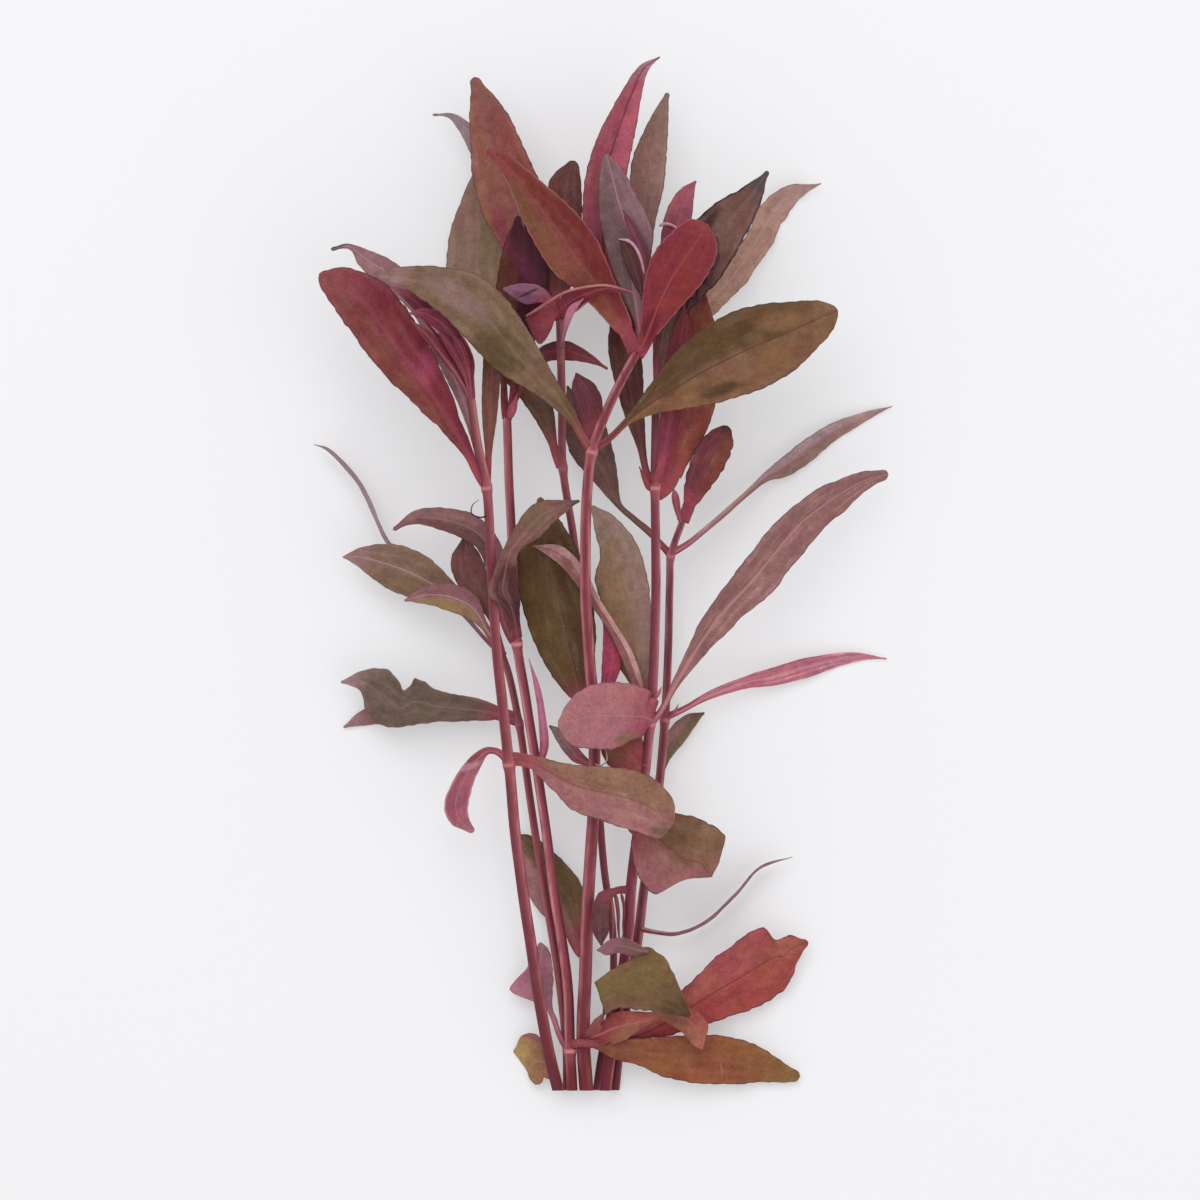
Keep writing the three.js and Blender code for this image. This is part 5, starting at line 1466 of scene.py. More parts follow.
    Leaf("pink_right_leaf", (18.8, 94.2, 10.4), (72, 108.25, 1), ((26.3, 99.6, 9), (35, 103.4, 7.4), (43, 106, 5.8),
        (50.5, 108.2, 4.2), (58, 109.5, 2.8), (65, 109.8, 1.8)), ((26.8, 97.8, 8.2), (36, 100.6, 5.8),
        (44, 101.6, 3.6), (51, 103.2, 2), (58.5, 105.8, 0.7), (65.5, 107.8, 0.5)), 0.4,
        LeafLook(Slot.PINK, 0xC07080, 0x964856, 0xC47C8A, 0xD796A0, 0x78424C, rib_share=0.75, veins=0.2, pleats=0.6,
        pleat=0xE0B0BA), Relief(0.3, 0.3, 0.75, 0.06)),
    Leaf("thin_low_leaf", (11.4, 40.2, 5.6), (48.25, 58.5, 3), ((18.8, 39.6, 7.6), (26.4, 42.4, 9), (34, 48.9, 9),
        (40.5, 56.3, 7)), ((18.7, 38.8, 3.6), (26.1, 41.5, 2), (33.5, 48.1, 1.4), (40.3, 55.5, 1.6)), 0.3,
        LeafLook(Slot.MAUVE, 0xA5797D, 0x4E2D32, 0xAA8285, 0xBE9196, 0x785258, veins=0.2, ends=(0.2, 0.8)),
        Relief(0.15, 0.15, 0.5, 0.03)),
    Leaf("bent_brown_leaf", (6, 50.4, 14), (0.4, 36.4, 17), ((3.8, 49.2, 15.4), (2.4, 46, 16.8), (2.2, 40, 17.2)),
        ((3, 50.8, 16), (-0.5, 49.6, 17), (-1.9, 45, 17.4), (-1.8, 40, 17.4)), -0.4,
        LeafLook(Slot.DARK_BROWN, 0x643C40, 0x5C3037, 0x6C4446, 0x875558, 0x4B2D32)),
    Leaf("front_foot_leaf", (-2.4, 14.2, 10.4), (22.4, 18.6, 20), ((-1, 16.8, 12.6), (0.9, 20.4, 14.8),
        (1.3, 23.8, 16), (-1.3, 27.2, 17.6), (2.6, 30.4, 19.4), (7.4, 33, 21), (11, 36.4, 22.2), (14.8, 35, 22.8),
        (18.6, 29, 22.4), (21.4, 23, 21.2)), ((-0.1, 16.4, 12.6), (2.4, 20, 15.2), (5, 20.8, 16.2), (10, 20.5, 17.4),
        (15.4, 19.4, 18.8)), -1, LeafLook(Slot.OLIVE, 0x7E603E, 0x644034, 0x60482E, 0x8C5F4B, 0x966458,
        patches=(Patch((5, 21), (10, 2.2), 0x8A5C52, -4, 0.75), Patch((19, 20), (5, 3.4), 0x54402A, -30),
        Patch((1, 36), (5, 2), 0x805458, 10, 0.7)), left=0x826842, ends=(0.2, 0.62), pleats=0.12),
        Relief(0.8, 0.7, 0.9, 0.25)),
    Leaf("red_foot_leaf", (4.8, 12.2, 9.8), (52.25, 37.25, 5), ((12.5, 17.5, 9.8), (20.75, 25.5, 9.8),
        (31.25, 35.2, 9.6), (41, 40.9, 8.8), (44, 37.9, 7.8), (47.4, 38.9, 6.8)), ((9, 12.8, 8.8), (16, 13.6, 7.4),
        (27, 16.8, 5.8), (37.5, 20.2, 4.2), (45.75, 24.75, 3.4), (50, 33, 4)), 0.9,
        LeafLook(Slot.CRIMSON, 0xA64A46, 0x822E34, 0xA04E4C, 0x783238, 0x703E54, rim_share=0.7,
        patches=(Patch((28, 35), (12, 1.6), 0x8A525E, 42, 0.7), Patch((46, 36), (5, 4), 0xB26454, 0, 0.6)),
        left=0xAC5855, right=0xA64D45, rib_share=0.55, pleats=0.1), Relief(1.2, 0.7, 1, 0.2)),
    Leaf("salmon_foot_leaf", (-1.8, 13.4, 12.4), (25.5, 10.5, 12.6), ((2.5, 19.2, 13), (6.2, 20.2, 13.8),
        (12.5, 19.8, 14.6), (22, 21, 15), (27, 17, 14)), ((1.4, 12, 12.6), (5.5, 12.4, 13), (9.6, 15, 13.3),
        (14, 17.6, 13.6), (20, 15.2, 13.6), (23.2, 11.6, 12.8)), 0.3,
        LeafLook(Slot.SALMON, 0xAC5C50, 0x8C2E38, 0xB06C58, 0xC8826E, 0x8C4E44, right=0x965F4B, ends=(0.5, 0.75),
        pleats=0.1, stalk=0x842834), Relief(0.8, 0.6, 0.9)),
    Leaf("brown_foot_leaf", (-6.7, 11.4, 10.3), (50.2, 3.4, 2), ((-2.5, 12.6, 11.8), (4, 13.1, 11.5),
        (10, 13.2, 10.8), (27.5, 14, 8.4), (36.25, 12.6, 6.4), (43.75, 8.7, 4)), ((-2.5, 11.2, 11.6),
        (3.75, 8, 10.8), (10, 6.25, 9.4), (16.25, 3.4, 7.8), (27.5, 1.6, 5.4), (42, 2, 2.4), (47, 2.2, 2)), 0.8,
        LeafLook(Slot.ORANGE_BROWN, 0x945639, 0x683832, 0x926C42, 0xA5644B, 0x6E3E30, ends=(0.35, 0.7),
        patches=(Patch((30.5, 5.2), (0.3, 2.1), 0xB27A54, 8, 0.6, 0.5), Patch((17, 9), (5, 0.6), 0xA0644E, 3, 0.6)),
        pleats=0.12), Relief(1.6, 0.6, 0.9)),
    Leaf("left_hooked_leaf", (-29.6, 153.2, 30), (-67.4, 210.7, 15), ((-31.4, 160.5, 27), (-34.6, 170, 24),
        (-40.9, 183, 20.4), (-47.5, 195.5, 18.4), (-55.4, 202.1, 17), (-60.6, 207, 16), (-62.4, 210.6, 15.6)),
        ((-30, 162, 27), (-32.4, 172, 24), (-36.5, 184, 21), (-42, 198, 19.4), (-51.4, 207.5, 18.2),
        (-56.8, 210.1, 17), (-63.5, 212.2, 16)), 0.7,
        LeafLook(Slot.MAUVE, 0xA5797D, 0x8C555C, 0x4E464A, 0xCDA5A8, 0x7D5C60, ends=(0.3, 0.9), rib_share=0.75),
        Relief(0.5, 0.4, 0.9)),
    Leaf("left_red_leaf", (-30.4, 152.8, 33.9), (-70, 204.4, 33.6), ((-32.9, 157.6, 34), (-39.4, 165, 34.8),
        (-47.5, 173, 35.4), (-55, 180.5, 35.8), (-65, 194, 35.8), (-69.6, 201, 34.6)), ((-31.8, 160.2, 33),
        (-34.75, 168, 32.4), (-38, 177, 31.8), (-45, 190.5, 31), (-52.5, 201, 31), (-57.3, 204, 31.4),
        (-63.6, 206, 32.4)), 1.2, LeafLook(Slot.CRIMSON, 0x82363C, 0x732D34, 0x965056, 0xA84260, 0x5F3234,
        left=0x84463E, right=0x7E2A38, rib_share=0.6, rib_width=0.7, patches=(Patch((-42.5, 181.5),
        (3.5, 7), 0xA53E5F, -20, 0.6),)), Relief(1.8, 0.6, 1.1)),
    Leaf("left_brown_leaf", (-27.8, 153.8, 30.2), (-25.5, 198, 31.4), ((-28.6, 160, 29.8), (-29.4, 168, 29.6),
        (-29.4, 178, 30), (-28.4, 189, 31)), ((-27, 160, 29.6), (-25.8, 168, 29.2), (-24.8, 178, 29.6),
        (-23.8, 189, 30.8)), 0.5, LeafLook(Slot.RED_BROWN, 0x784C41, 0x6E3C38, 0x7D544A, 0xA55541, 0x553832,
        rib_share=0.5)),
    Leaf("big_left_leaf", (-3.9, 161.8, 30.6), (-56.25, 204.2, 42.4), ((-7.6, 167, 32.6), (-12.5, 171.6, 35),
        (-19, 176, 37.4), (-25, 179.6, 38.6), (-31, 185.4, 39.6), (-37, 191.8, 40.4), (-46, 199, 41.4)),
        ((-5.6, 168.4, 33.4), (-9.5, 175.5, 36), (-13.75, 183, 38.4), (-20, 193.5, 41), (-25.75, 200.5, 42.4),
        (-32.5, 204.75, 43.4), (-48.75, 206, 43.4)), 1.1,
        LeafLook(Slot.OLIVE, 0x82644E, 0x624A30, 0x987670, 0xA06E62, 0x624C3C, ends=(0.35, 0.75), veins=-0.35,
        patches=(Patch((-25, 185), (9, 7), 0x5C4428, -35, 0.85), Patch((-36, 199), (12, 4), 0x987676, -35, 0.7))),
        Relief(0.8, 0.7, 0.9, quilt=0.2)),
    Leaf("second_left_leaf", (-11.2, 157, 16.6), (-30, 189, 18.2), ((-11.8, 159.6, 16.6), (-15, 166, 16.6),
        (-19.2, 172.4, 17), (-25, 179.6, 17.6)), ((-10.9, 163.6, 16.6), (-12.4, 174, 17), (-17.4, 184, 17.8),
        (-24, 190, 18.2)), 0.6, LeafLook(Slot.OLIVE_BROWN, 0x6A4C3C, 0x603834, 0x705442, 0x8C5C50, 0x4B362E),
        Relief(0.6, 0.4, 0.9)),
    Leaf("tan_left_leaf", (-23.6, 170.2, 21), (-30.5, 233, 5), ((-24.4, 175.6, 16), (-26.4, 183, 13.6),
        (-33.8, 195, 9.4), (-38.4, 206, 5), (-37.5, 215.5, 3.4), (-35, 223, 3.4)), ((-23.4, 175.8, 16.2),
        (-23, 184, 14), (-23, 195, 11.6), (-23.5, 207, 8.6), (-25, 218, 7), (-28, 227, 5.8)), 0.9,
        LeafLook(Slot.TAN, 0x967465, 0x825C4E, 0x9C7A70, 0xB28478, 0x6C564C, right=0x8E7558, rib_share=0.65),
        Relief(0.9)),
    Leaf("maroon_crown_leaf", (-24.3, 170.8, 23.4), (-20.5, 219, 25.4), ((-24.6, 180, 22.4), (-26.5, 192, 22.8),
        (-25.2, 206.5, 23.6), (-23.3, 213.8, 24.6)), ((-23.2, 181, 22.4), (-20, 193, 22.4), (-17.4, 205, 23),
        (-18.2, 213.6, 24.4)), 0.7, LeafLook(Slot.DARK_BROWN, 0x703E32, 0x784232, 0x542C30, 0x824242, 0x422426,
        rib_share=0.15, pleats=0.08, patches=(Patch((-19.8, 216), (5, 3), 0x5C2A38, 80, 0.85), Patch((-20.6, 208.6),
        (7.5, 2.4), 0x7C324C, -57, 0.85), Patch((-10.5, 204), (5, 5), 0x482826))), Relief(0.8)),
    Leaf("purple_crown_leaf", (-22, 170.6, 24.2), (-17, 221.4, 28), ((-22, 181, 25.2), (-20.8, 195, 26.4),
        (-20, 208, 27.2), (-19, 216, 27.8)), ((-20.6, 181, 25), (-15, 190, 25.4), (-13.2, 200, 26.2),
        (-13.6, 211, 27.2)), 0.7, LeafLook(Slot.PURPLE, 0x5C2A3A, 0x5A2432, 0x5A303E, 0x873C52, 0x46222E,
        right=0x542836, patches=(Patch((-19, 206.6), (7.5, 2.4), 0x78304C, -57),), pleats=0, rib_share=0.15,
        veins=0.15), Relief(0.8)),
    Leaf("tall_left_leaf", (-11.2, 195.8, 25.6), (-31.5, 253.75, 20), ((-17, 200.6, 20), (-24.2, 210.6, 15.6),
        (-29, 218.75, 14.4), (-31.75, 228, 14.6), (-32.4, 236, 15.4), (-32.5, 248, 18)), ((-12.2, 204, 21),
        (-12.6, 216, 18.4), (-14.75, 227, 17.6), (-17.25, 232.25, 17.8), (-20, 238.5, 18.4),
        (-25, 247.5, 19.6)), 1.1, LeafLook(Slot.RED_BROWN, 0x90504F, 0x6E373A, 0x905B57, 0xA05C5C, 0x583E37,
        left=0x9D6454, right=0x965246, rib_share=0.65, patches=(Patch((-25, 217), (2.6, 7), 0x963C52, 15, 0.75),)),
        Relief(1.5, 0.5)),
    Leaf("grey_tip_leaf", (-10.4, 196.2, 23.2), (-42, 244.6, 8), ((-15, 202, 16.4), (-23, 217, 11),
        (-29, 228.6, 9.6), (-32.5, 235, 9), (-35.4, 240.6, 8.6), (-37.8, 243.7, 8.2)), ((-12.5, 204, 16.6),
        (-16.8, 221, 12), (-24, 234, 10.8), (-29.5, 240, 9.8), (-33, 242.8, 9.4), (-37, 245, 8.8)), 0.5,
        LeafLook(Slot.MAUVE, 0xA58D91, 0x966E76, 0xA08C90, 0xB9A0A4, 0x786266, veins=0.2, rib_share=0.2)),
    Leaf("dark_top_leaf", (-9, 196.2, 26.8), (-6.25, 232.75, 23), ((-12.6, 199.8, 25.2), (-13.8, 205, 24.2),
        (-13.6, 213, 23.6), (-13.2, 222, 23), (-12.6, 227.8, 23), (-10, 230.8, 23)), ((-7.8, 199.8, 25.4),
        (-5.4, 206, 23.8), (-4.7, 213, 22.6), (-4.5, 222, 22.2), (-5, 229.25, 22.6)), 0.6,
        LeafLook(Slot.DARK_BROWN, 0x6E423D, 0x5C3032, 0x704A42, 0x965C58, 0x4B302E), Relief(1.6)),
    Leaf("diagonal_leaf", (8.1, 186.3, 33.3), (-28.25, 235, 42), ((4.6, 189.2, 34), (-1.25, 195.5, 35),
        (-6.25, 200.5, 35.4), (-11.25, 204.25, 36), (-16.25, 211.75, 37.6), (-20, 219.25, 39.4), (-23.75, 228, 41)),
        ((8, 191.75, 34), (5, 199.25, 34.6), (2, 206.75, 35.4), (-0.75, 212.75, 36.4), (-5, 218.5, 37.8),
        (-12.5, 225.5, 39.8), (-23.75, 234, 41.8)), 1,
        LeafLook(Slot.RED_BROWN, 0x88463D, 0x6C2A25, 0x8E4242, 0xA55552, 0xCD9696, right=0x7A2A28, rib_share=0.4,
        rim_share=0.38, rim_width=0.4, patches=(Patch((-18.5, 219.5), (13, 2.4), 0x7E5238, -55),), left=0x84483A,
        pleats=0.1), Relief(1, 0.4, 1)),
    Leaf("tall_magenta_leaf", (8.2, 187.2, 30.8), (15, 258.6, 28), ((2, 196, 28), (-3, 207, 26.8), (-4.4, 221, 26.4),
        (-3, 231.75, 26.4), (0, 240, 26.8), (5, 249.25, 27.4), (10, 256.5, 28)), ((6.6, 197, 27.4), (5.6, 211, 26),
        (6, 223, 25.4), (7, 231, 25.2), (8.75, 239.25, 25.6), (10.25, 248, 26.6), (12, 255, 27.6)), 0.9,
        LeafLook(Slot.MAGENTA, 0x9C4456, 0x842836, 0xAC7D87, 0x6E202A, 0x6E3E46, left=0xA45462, right=0xBC5E70,
        rib_share=0.75, ends=(0.35, 0.82), veins=0.25), Relief(0.3, 0.6, 0.9)),
    Leaf("grey_centre_leaf", (10.5, 187.6, 31.4), (1.5, 234.25, 33), ((7.4, 195, 31.2), (3, 205.4, 31.2),
        (0.4, 215, 31.6), (-0.5, 224.25, 32), (0, 229.6, 32.4)), ((11, 198, 32.2), (12.2, 207.5, 33),
        (13.4, 214, 33.6), (12.4, 217.6, 33.8), (9.25, 223.75, 33.6), (5.5, 230.5, 33.4)), 1.1,
        LeafLook(Slot.MAUVE, 0x826161, 0x783E48, 0x826266, 0xC38791, 0x5A4246, left=0x785A5A, right=0x966E78,
        rib_share=0.8, rib_width=0.6, veins=0.35), Relief(0.8, quilt=0.22, spacing=3)),
    Leaf("tan_top_leaf", (10.2, 186.6, 28.8), (17, 250, 15), ((8.4, 200, 22.6), (7.4, 214, 18.6), (7.4, 225.5, 16.6),
        (8, 233, 16), (10.5, 239.4, 15.6), (14.5, 246.9, 15.2)), ((12, 200, 22.4), (13.6, 216, 18), (16, 226.75, 16),
        (16.75, 235.5, 15.4), (17.2, 246, 15)), 0.8,
        LeafLook(Slot.TAN, 0x966F65, 0x825050, 0x947468, 0xAF8078, 0x69504A, right=0x9C796E), Relief(0.7)),
    Leaf("front_crimson_leaf", (10.6, 186.3, 33.3), (27, 216.4, 45), ((10.2, 193, 35.4), (11, 201.75, 38),
        (13, 208.75, 40.4), (17.5, 214.25, 43), (22.5, 217.75, 44.8)), ((13.4, 188.2, 35), (18, 193.5, 37.6),
        (22.5, 198.5, 40), (26.25, 203, 42), (29.25, 210.5, 44.4)), 1,
        LeafLook(Slot.CRIMSON, 0x8A323A, 0x782630, 0x923E44, 0xB4555C, 0xC8828C, rib_share=0.6, rim_share=0.45,
        rim_width=0.4, veins=0.25, pleats=0.1, patches=(Patch((12.6, 191), (6.5, 2.6), 0x701E26, 72, 0.85),)),
        Relief(1.5, 0.4, 1)),
    Leaf("big_right_leaf", (0.9, 161.4, 30.4), (59.25, 195.2, 39), ((8.4, 171, 34), (12.5, 176.75, 36),
        (20, 186, 38.6), (27.5, 191.75, 40.4), (35, 195.5, 41.6), (45, 197.1, 42), (55, 197.3, 40.4)),
        ((7.5, 167, 33), (15, 169.6, 35), (25, 171.2, 36.4), (32.5, 173, 37.2), (41.25, 176, 37.6),
        (48.75, 180.5, 37.8), (58, 190.6, 38.6)), 1.1,
        LeafLook(Slot.OLIVE, 0x6F4E32, 0x523921, 0x8A644A, 0x703832, 0x604838, right=0x8A6042, ends=(0.35, 0.75),
        rib_share=0.75, veins=-0.3, patches=(Patch((32, 181.5), (9, 2.2), 0x8C6654, 12, 0.5), Patch((30, 175.5),
        (6, 2), 0x4E371F, 14), Patch((45.5, 192.6), (8.5, 3.4), 0x8C6446, 6, 0.95)), left=0x62452A),
        Relief(2.4, 0.6, 0.8)),
    Leaf("forked_brown_leaf", (16.2, 135.4, 13.6), (-8.25, 176.75, 10), ((12.8, 138.6, 12.6), (8.5, 142.4, 11.6),
        (3, 147.4, 10.4), (-1.25, 152.25, 9.8), (-7.25, 159.4, 9.4), (-9, 168, 9.4)), ((13.2, 140.2, 12.6),
        (8.9, 143.8, 11.8), (5.5, 147, 11), (4.5, 153.5, 10.8), (3, 161.75, 11), (0, 169, 10.8)), 0.7,
        LeafLook(Slot.RED_BROWN, 0x785650, 0x6E3E3E, 0x7E5E58, 0x966C66, 0x553E3A)),
    Leaf("brown_inner_leaf", (11.7, 152.6, 24.4), (5, 199, 21.4), ((9.5, 160.5, 23.4), (6.5, 168, 22.6),
        (3.5, 178, 22), (2, 186.5, 21.6), (3, 194, 21.4)), ((11.4, 162, 23), (11, 173, 22.4), (10.4, 184, 21.8),
        (8.4, 194, 21.4)), 0.7, LeafLook(Slot.DARK_BROWN, 0x643833, 0x5A2C2E, 0x69403A, 0x8A524C, 0x442A28),
        Relief(stalk=0.9)),
    Leaf("magenta_inner_leaf", (14.7, 153.2, 28.2), (21, 197, 31.6), ((14.8, 162, 29.2), (15.2, 172, 30.2),
        (17, 186, 31.4)), ((17.6, 161, 28.2), (20, 168, 28.8), (22.5, 178, 29.8), (23, 189, 31)), 0.6,
        LeafLook(Slot.MAGENTA, 0x7E3040, 0x6E2434, 0x803A3C, 0xAC4E68, 0x5C2432), Relief(stalk=1)),
    Leaf("orange_inner_leaf", (15.9, 151.2, 25.2), (25.5, 202.4, 25), ((16.2, 160, 25), (17.4, 172, 24.8),
        (18.4, 186, 24.8), (20, 197, 24.8)), ((18.4, 150.6, 23.4), (22.5, 158, 20), (26.75, 165.5, 19),
        (29.6, 176, 19.4), (29.6, 188, 21), (27.6, 196, 23)), 0.9,
        LeafLook(Slot.ORANGE_BROWN, 0x944A3E, 0x823234, 0x8A5040, 0xA5554B, 0x62342C, left=0x8E323C, right=0xA45848,
        patches=(Patch((16, 164), (1.6, 9), 0x96374C, 10, 0.75),)), Relief(stalk=1.1)),
    Leaf("dark_right_leaf", (15, 174.2, 28.4), (42, 230, 31), ((14.6, 184, 29.4), (17, 198, 31), (20, 211, 32),
        (26.25, 220, 32.6), (35, 225.6, 32.4)), ((17.6, 184, 29), (22.4, 195, 29.2), (29.5, 202.6, 29.6),
        (35, 211.5, 29.8), (40, 221.75, 30.4)), 0.9,
        LeafLook(Slot.DARK_BROWN, 0x7C564D, 0x643E3C, 0x544C4C, 0x916964, 0x3A2A2A, ends=(0.3, 0.85), rim_share=0.8,
        rim_width=0.8, patches=(Patch((27, 218), (2.5, 6), 0x3E2C2E, -25),)), Relief(0.7, 0.6, 0.75, 0.16, pitch=8)),
    Leaf("tan_right_leaf", (15.2, 173.8, 25.2), (55.5, 227.5, 4), ((17.6, 185, 18.8), (22.6, 196, 13),
        (31, 206, 8.6), (35, 211.6, 7.4), (41.25, 223, 6), (46.25, 226.6, 5.2)), ((19.8, 184, 17.4),
        (27.2, 193, 9.6), (36.25, 202.25, 4.2), (42.5, 211.25, 1.8), (48.75, 222.25, 0.5)), 0.8,
        LeafLook(Slot.TAN, 0xBA927F, 0xA0706A, 0xBE9797, 0xD6A6A8, 0x765A56, ends=(0.3, 0.66), rib_share=0.8,
        rib_width=0.45), Relief(0.3, 0.5, 0.75, 0.16)),
    Leaf("dark_crimson_leaf", (21.4, 144.2, 17), (32, 166.5, 24), ((20.9, 148, 18.4), (21.5, 154, 20.2),
        (25, 162.5, 23.6), (28, 165.4, 24.2)), ((23, 145.4, 17.8), (27, 150.2, 19.4), (31, 156, 21.4),
        (33.25, 162, 23)), 0.6, LeafLook(Slot.CRIMSON, 0x78383C, 0x732D3C, 0x2D2022, 0x964B52, 0x46262A,
        right=0x84463A, ends=(0.3, 0.8)), Relief(1.8, 0.5, 0.75, 0.3)),
    Leaf("narrow_right_leaf", (19.9, 135.2, 15), (73.3, 171.6, 1), ((30, 144.5, 11), (36, 149.8, 8.4),
        (43.5, 157, 6), (50, 162.2, 4.6), (57, 166.8, 3.4), (67, 170.4, 1.8)), ((31, 143.7, 10.2), (37, 149, 7.2),
        (42, 152.7, 4.6), (46.3, 153.8, 3), (51.5, 156.6, 1.8), (58, 162.2, 0.8), (68, 168.6, 0.5)), 0.4,
        LeafLook(Slot.MAUVE, 0x9E7C72, 0x825552, 0xB09090, 0xC8828C, 0x6E5550, left=0xBEA0A5, rib_share=0.8,
        veins=0.25), Relief(0.2, 0.3)),
    Leaf("left_young_tuft_broad_leaf", (-32.4, 175.2, 35.6), (-47.9, 194.4, 38.2), ((-34.6, 181, 36.2),
        (-39, 187.8, 37.2), (-44, 192.7, 37.8)), ((-31.2, 182, 37.2), (-34, 188.8, 38.2), (-38.25, 193.9, 38.8),
        (-43.75, 195.7, 38.8)), 0.4, LeafLook(Slot.CRIMSON, 0x742A38, 0x782D3A, 0x964B5A, 0xAF5F6E, 0xE4A8B0,
        rim_share=1, rim_width=0.6, veins=0.2), Relief(0.2, 0.15, 0.75, 0.05, 0.1), node="left_young_tuft"),
    Leaf("left_young_tuft_long_leaf", (-33, 175.2, 34.8), (-53, 201.6, 34.4), ((-38, 184, 34.4), (-43, 191.5, 34.2),
        (-48.5, 197.6, 34.2)), ((-36.4, 187, 35), (-41, 195, 35.2), (-47, 199.9, 35)), 0.3,
        LeafLook(Slot.CRIMSON, 0x7A303E, 0x782D3A, 0xA55F6E, 0xB46474, 0xE2A6AE, rim_share=1, rim_width=0.6,
        veins=0.2), Relief(0.2, 0.15, 0.75, 0.05, 0.1), node="left_young_tuft"),
    Leaf("left_young_tuft_short_leaf", (-33, 175, 35.4), (-47.4, 193, 36.4), ((-38.2, 181.3, 36),
        (-43.4, 187.4, 36.2)), ((-36.8, 182.4, 36.2), (-41.9, 189.4, 36.4)), 0.2,
        LeafLook(Slot.CRIMSON, 0x782E3C, 0x6E2834, 0x8C4654, 0xAA5A69, 0xCD8C96, rim_share=0.7, veins=0.2),
        Relief(0.2, 0.1, 0.75, 0.05, 0.1), node="left_young_tuft"),
    Leaf("middle_young_tuft_low_leaf", (-10.4, 195.4, 29.9), (-18.4, 193.6, 31.4), ((-12.6, 189.6, 29.4),
        (-15, 186.8, 29.8), (-17.4, 190.2, 30.8)), ((-13.2, 196.6, 31), (-16, 195.5, 31.6)), 0.3,
        LeafLook(Slot.CRIMSON, 0x7A2A36, 0x782834, 0x782D3A, 0xAA5562, 0xAA6470, veins=0.2),
        node="middle_young_tuft"),
    Leaf("middle_young_tuft_arc_leaf", (-10.4, 195.4, 29.9), (8.4, 199.4, 38.8), ((-9.5, 199.4, 34.4),
        (-6.2, 200.7, 37.8), (1.2, 201.8, 39.4), (6.4, 200.6, 39.2)), ((-6.6, 194.6, 33), (-3, 197, 36.4),
        (1.6, 199.6, 38.6), (5.4, 199.6, 38.8)), 0.2,
        LeafLook(Slot.CRIMSON, 0x782630, 0x70242E, 0x8C404A, 0xB45F64, 0xCD9898, rim_share=0.85, rim_width=0.6,
        veins=0.2), Relief(0.2, 0.1, 0.75, 0.05, 0.2), node="middle_young_tuft"),
    # middle_young_tuft_upper_leaf: its thin dark patch is painted shade in the slit along its middle.
    Leaf("middle_young_tuft_upper_leaf", (-10.4, 195.4, 29.9), (-24.3, 200.6, 35), ((-14.2, 197.1, 31.8),
        (-18.6, 196.8, 33.2), (-21.6, 198.4, 34.2)), ((-13.8, 200.6, 32.6), (-17.5, 201.9, 34),
        (-21.2, 201.7, 34.8)), 0.3, LeafLook(Slot.CRIMSON, 0x7C4E66, 0x823C50, 0x96647C, 0x5F3242, 0xA57887,
        rib_share=0, veins=0.2, right=0x96647A, patches=(Patch((-18.2, 199.4), (3, 0.4), 0x4A243E, 25, 0.9, 0.3),),
        left=0x70445A), node="middle_young_tuft"),
    Leaf("rear_left_stem_crimson_leaf", (-22.8, 168.6, 23), (2, 180.7, 20.8), ((-19.4, 178.6, 20.6),
        (-14.9, 186.2, 20.8), (-8.75, 187.8, 20.8), (-3.75, 185.6, 20.8)), ((-18.4, 177, 20.4), (-13.4, 182.4, 20.2),
        (-7, 182.8, 20), (-2, 182, 20.2)), 0.4,
        LeafLook(Slot.RED_STEM, 0x843842, 0x782D37, 0x8C4650, 0xA5555F, 0x542C36, left=0x763C48, veins=0.2,
        rim_share=0.7), Relief(0.4, 0.2, 0.6), node="rear_left_stem"),
    Leaf("rear_left_stem_pink_leaf", (-15.9, 79.6, 14.2), (-17.8, 108.4, 19.8), ((-15.1, 86, 16.8),
        (-15.7, 96, 18.6), (-17, 104, 19.6)), ((-12.9, 86, 17.2), (-13.6, 94, 18.8), (-14.9, 101, 19.6)), 0.2,
        LeafLook(Slot.RED_STEM, 0xBE6E8C, 0xA55069, 0xB46E87, 0xD796AA, 0x965069, veins=0.15),
        Relief(0.15, 0.2, 0.7, 0.05, 0.1), node="rear_left_stem"),
    Leaf("centre_stem_purple_leaf", (-2.2, 160.8, 28.8), (-6, 179.8, 24.6), ((-4.6, 166.4, 26.4),
        (-6.4, 171.6, 25.4), (-7.1, 176.4, 24.8)), ((-0.6, 166.4, 26.6), (0.7, 172, 26), (-1.4, 177, 25.2)), 0.5,
        LeafLook(Slot.RED_STEM, 0x6A323E, 0x6E2D37, 0x622E3A, 0x914B5A, 0x4C242E), node="centre_stem"),
    Leaf("centre_stem_magenta_leaf", (-1.4, 95.4, 21.8), (0.8, 118, 18.2), ((0.1, 100.4, 19.4), (0.4, 106, 18.4),
        (0.7, 112, 18.2)), ((3.4, 101.6, 19), (5.2, 106.6, 18.2), (4.4, 112, 18)), 0.3,
        LeafLook(Slot.RED_STEM, 0xAA3E5C, 0x8C3446, 0xA5425C, 0xC35F7D, 0x7D3044), node="centre_stem"),
    Leaf("centre_stem_grey_leaf", (-1.8, 81.6, 19), (-12.8, 91.6, 14.8), ((-6.5, 82.4, 17), (-10.4, 87, 15.6)),
        ((-5.4, 86, 17.4), (-9.4, 90.8, 16)), 0.3,
        LeafLook(Slot.RED_STEM, 0x967678, 0x96555F, 0x91787A, 0xAF8C91, 0x705458), node="centre_stem"),
    Leaf("right_stem_pink_leaf", (14, 172.2, 27.4), (24, 227.75, 25.4), ((13.2, 185, 27.6), (13.8, 200, 27.6),
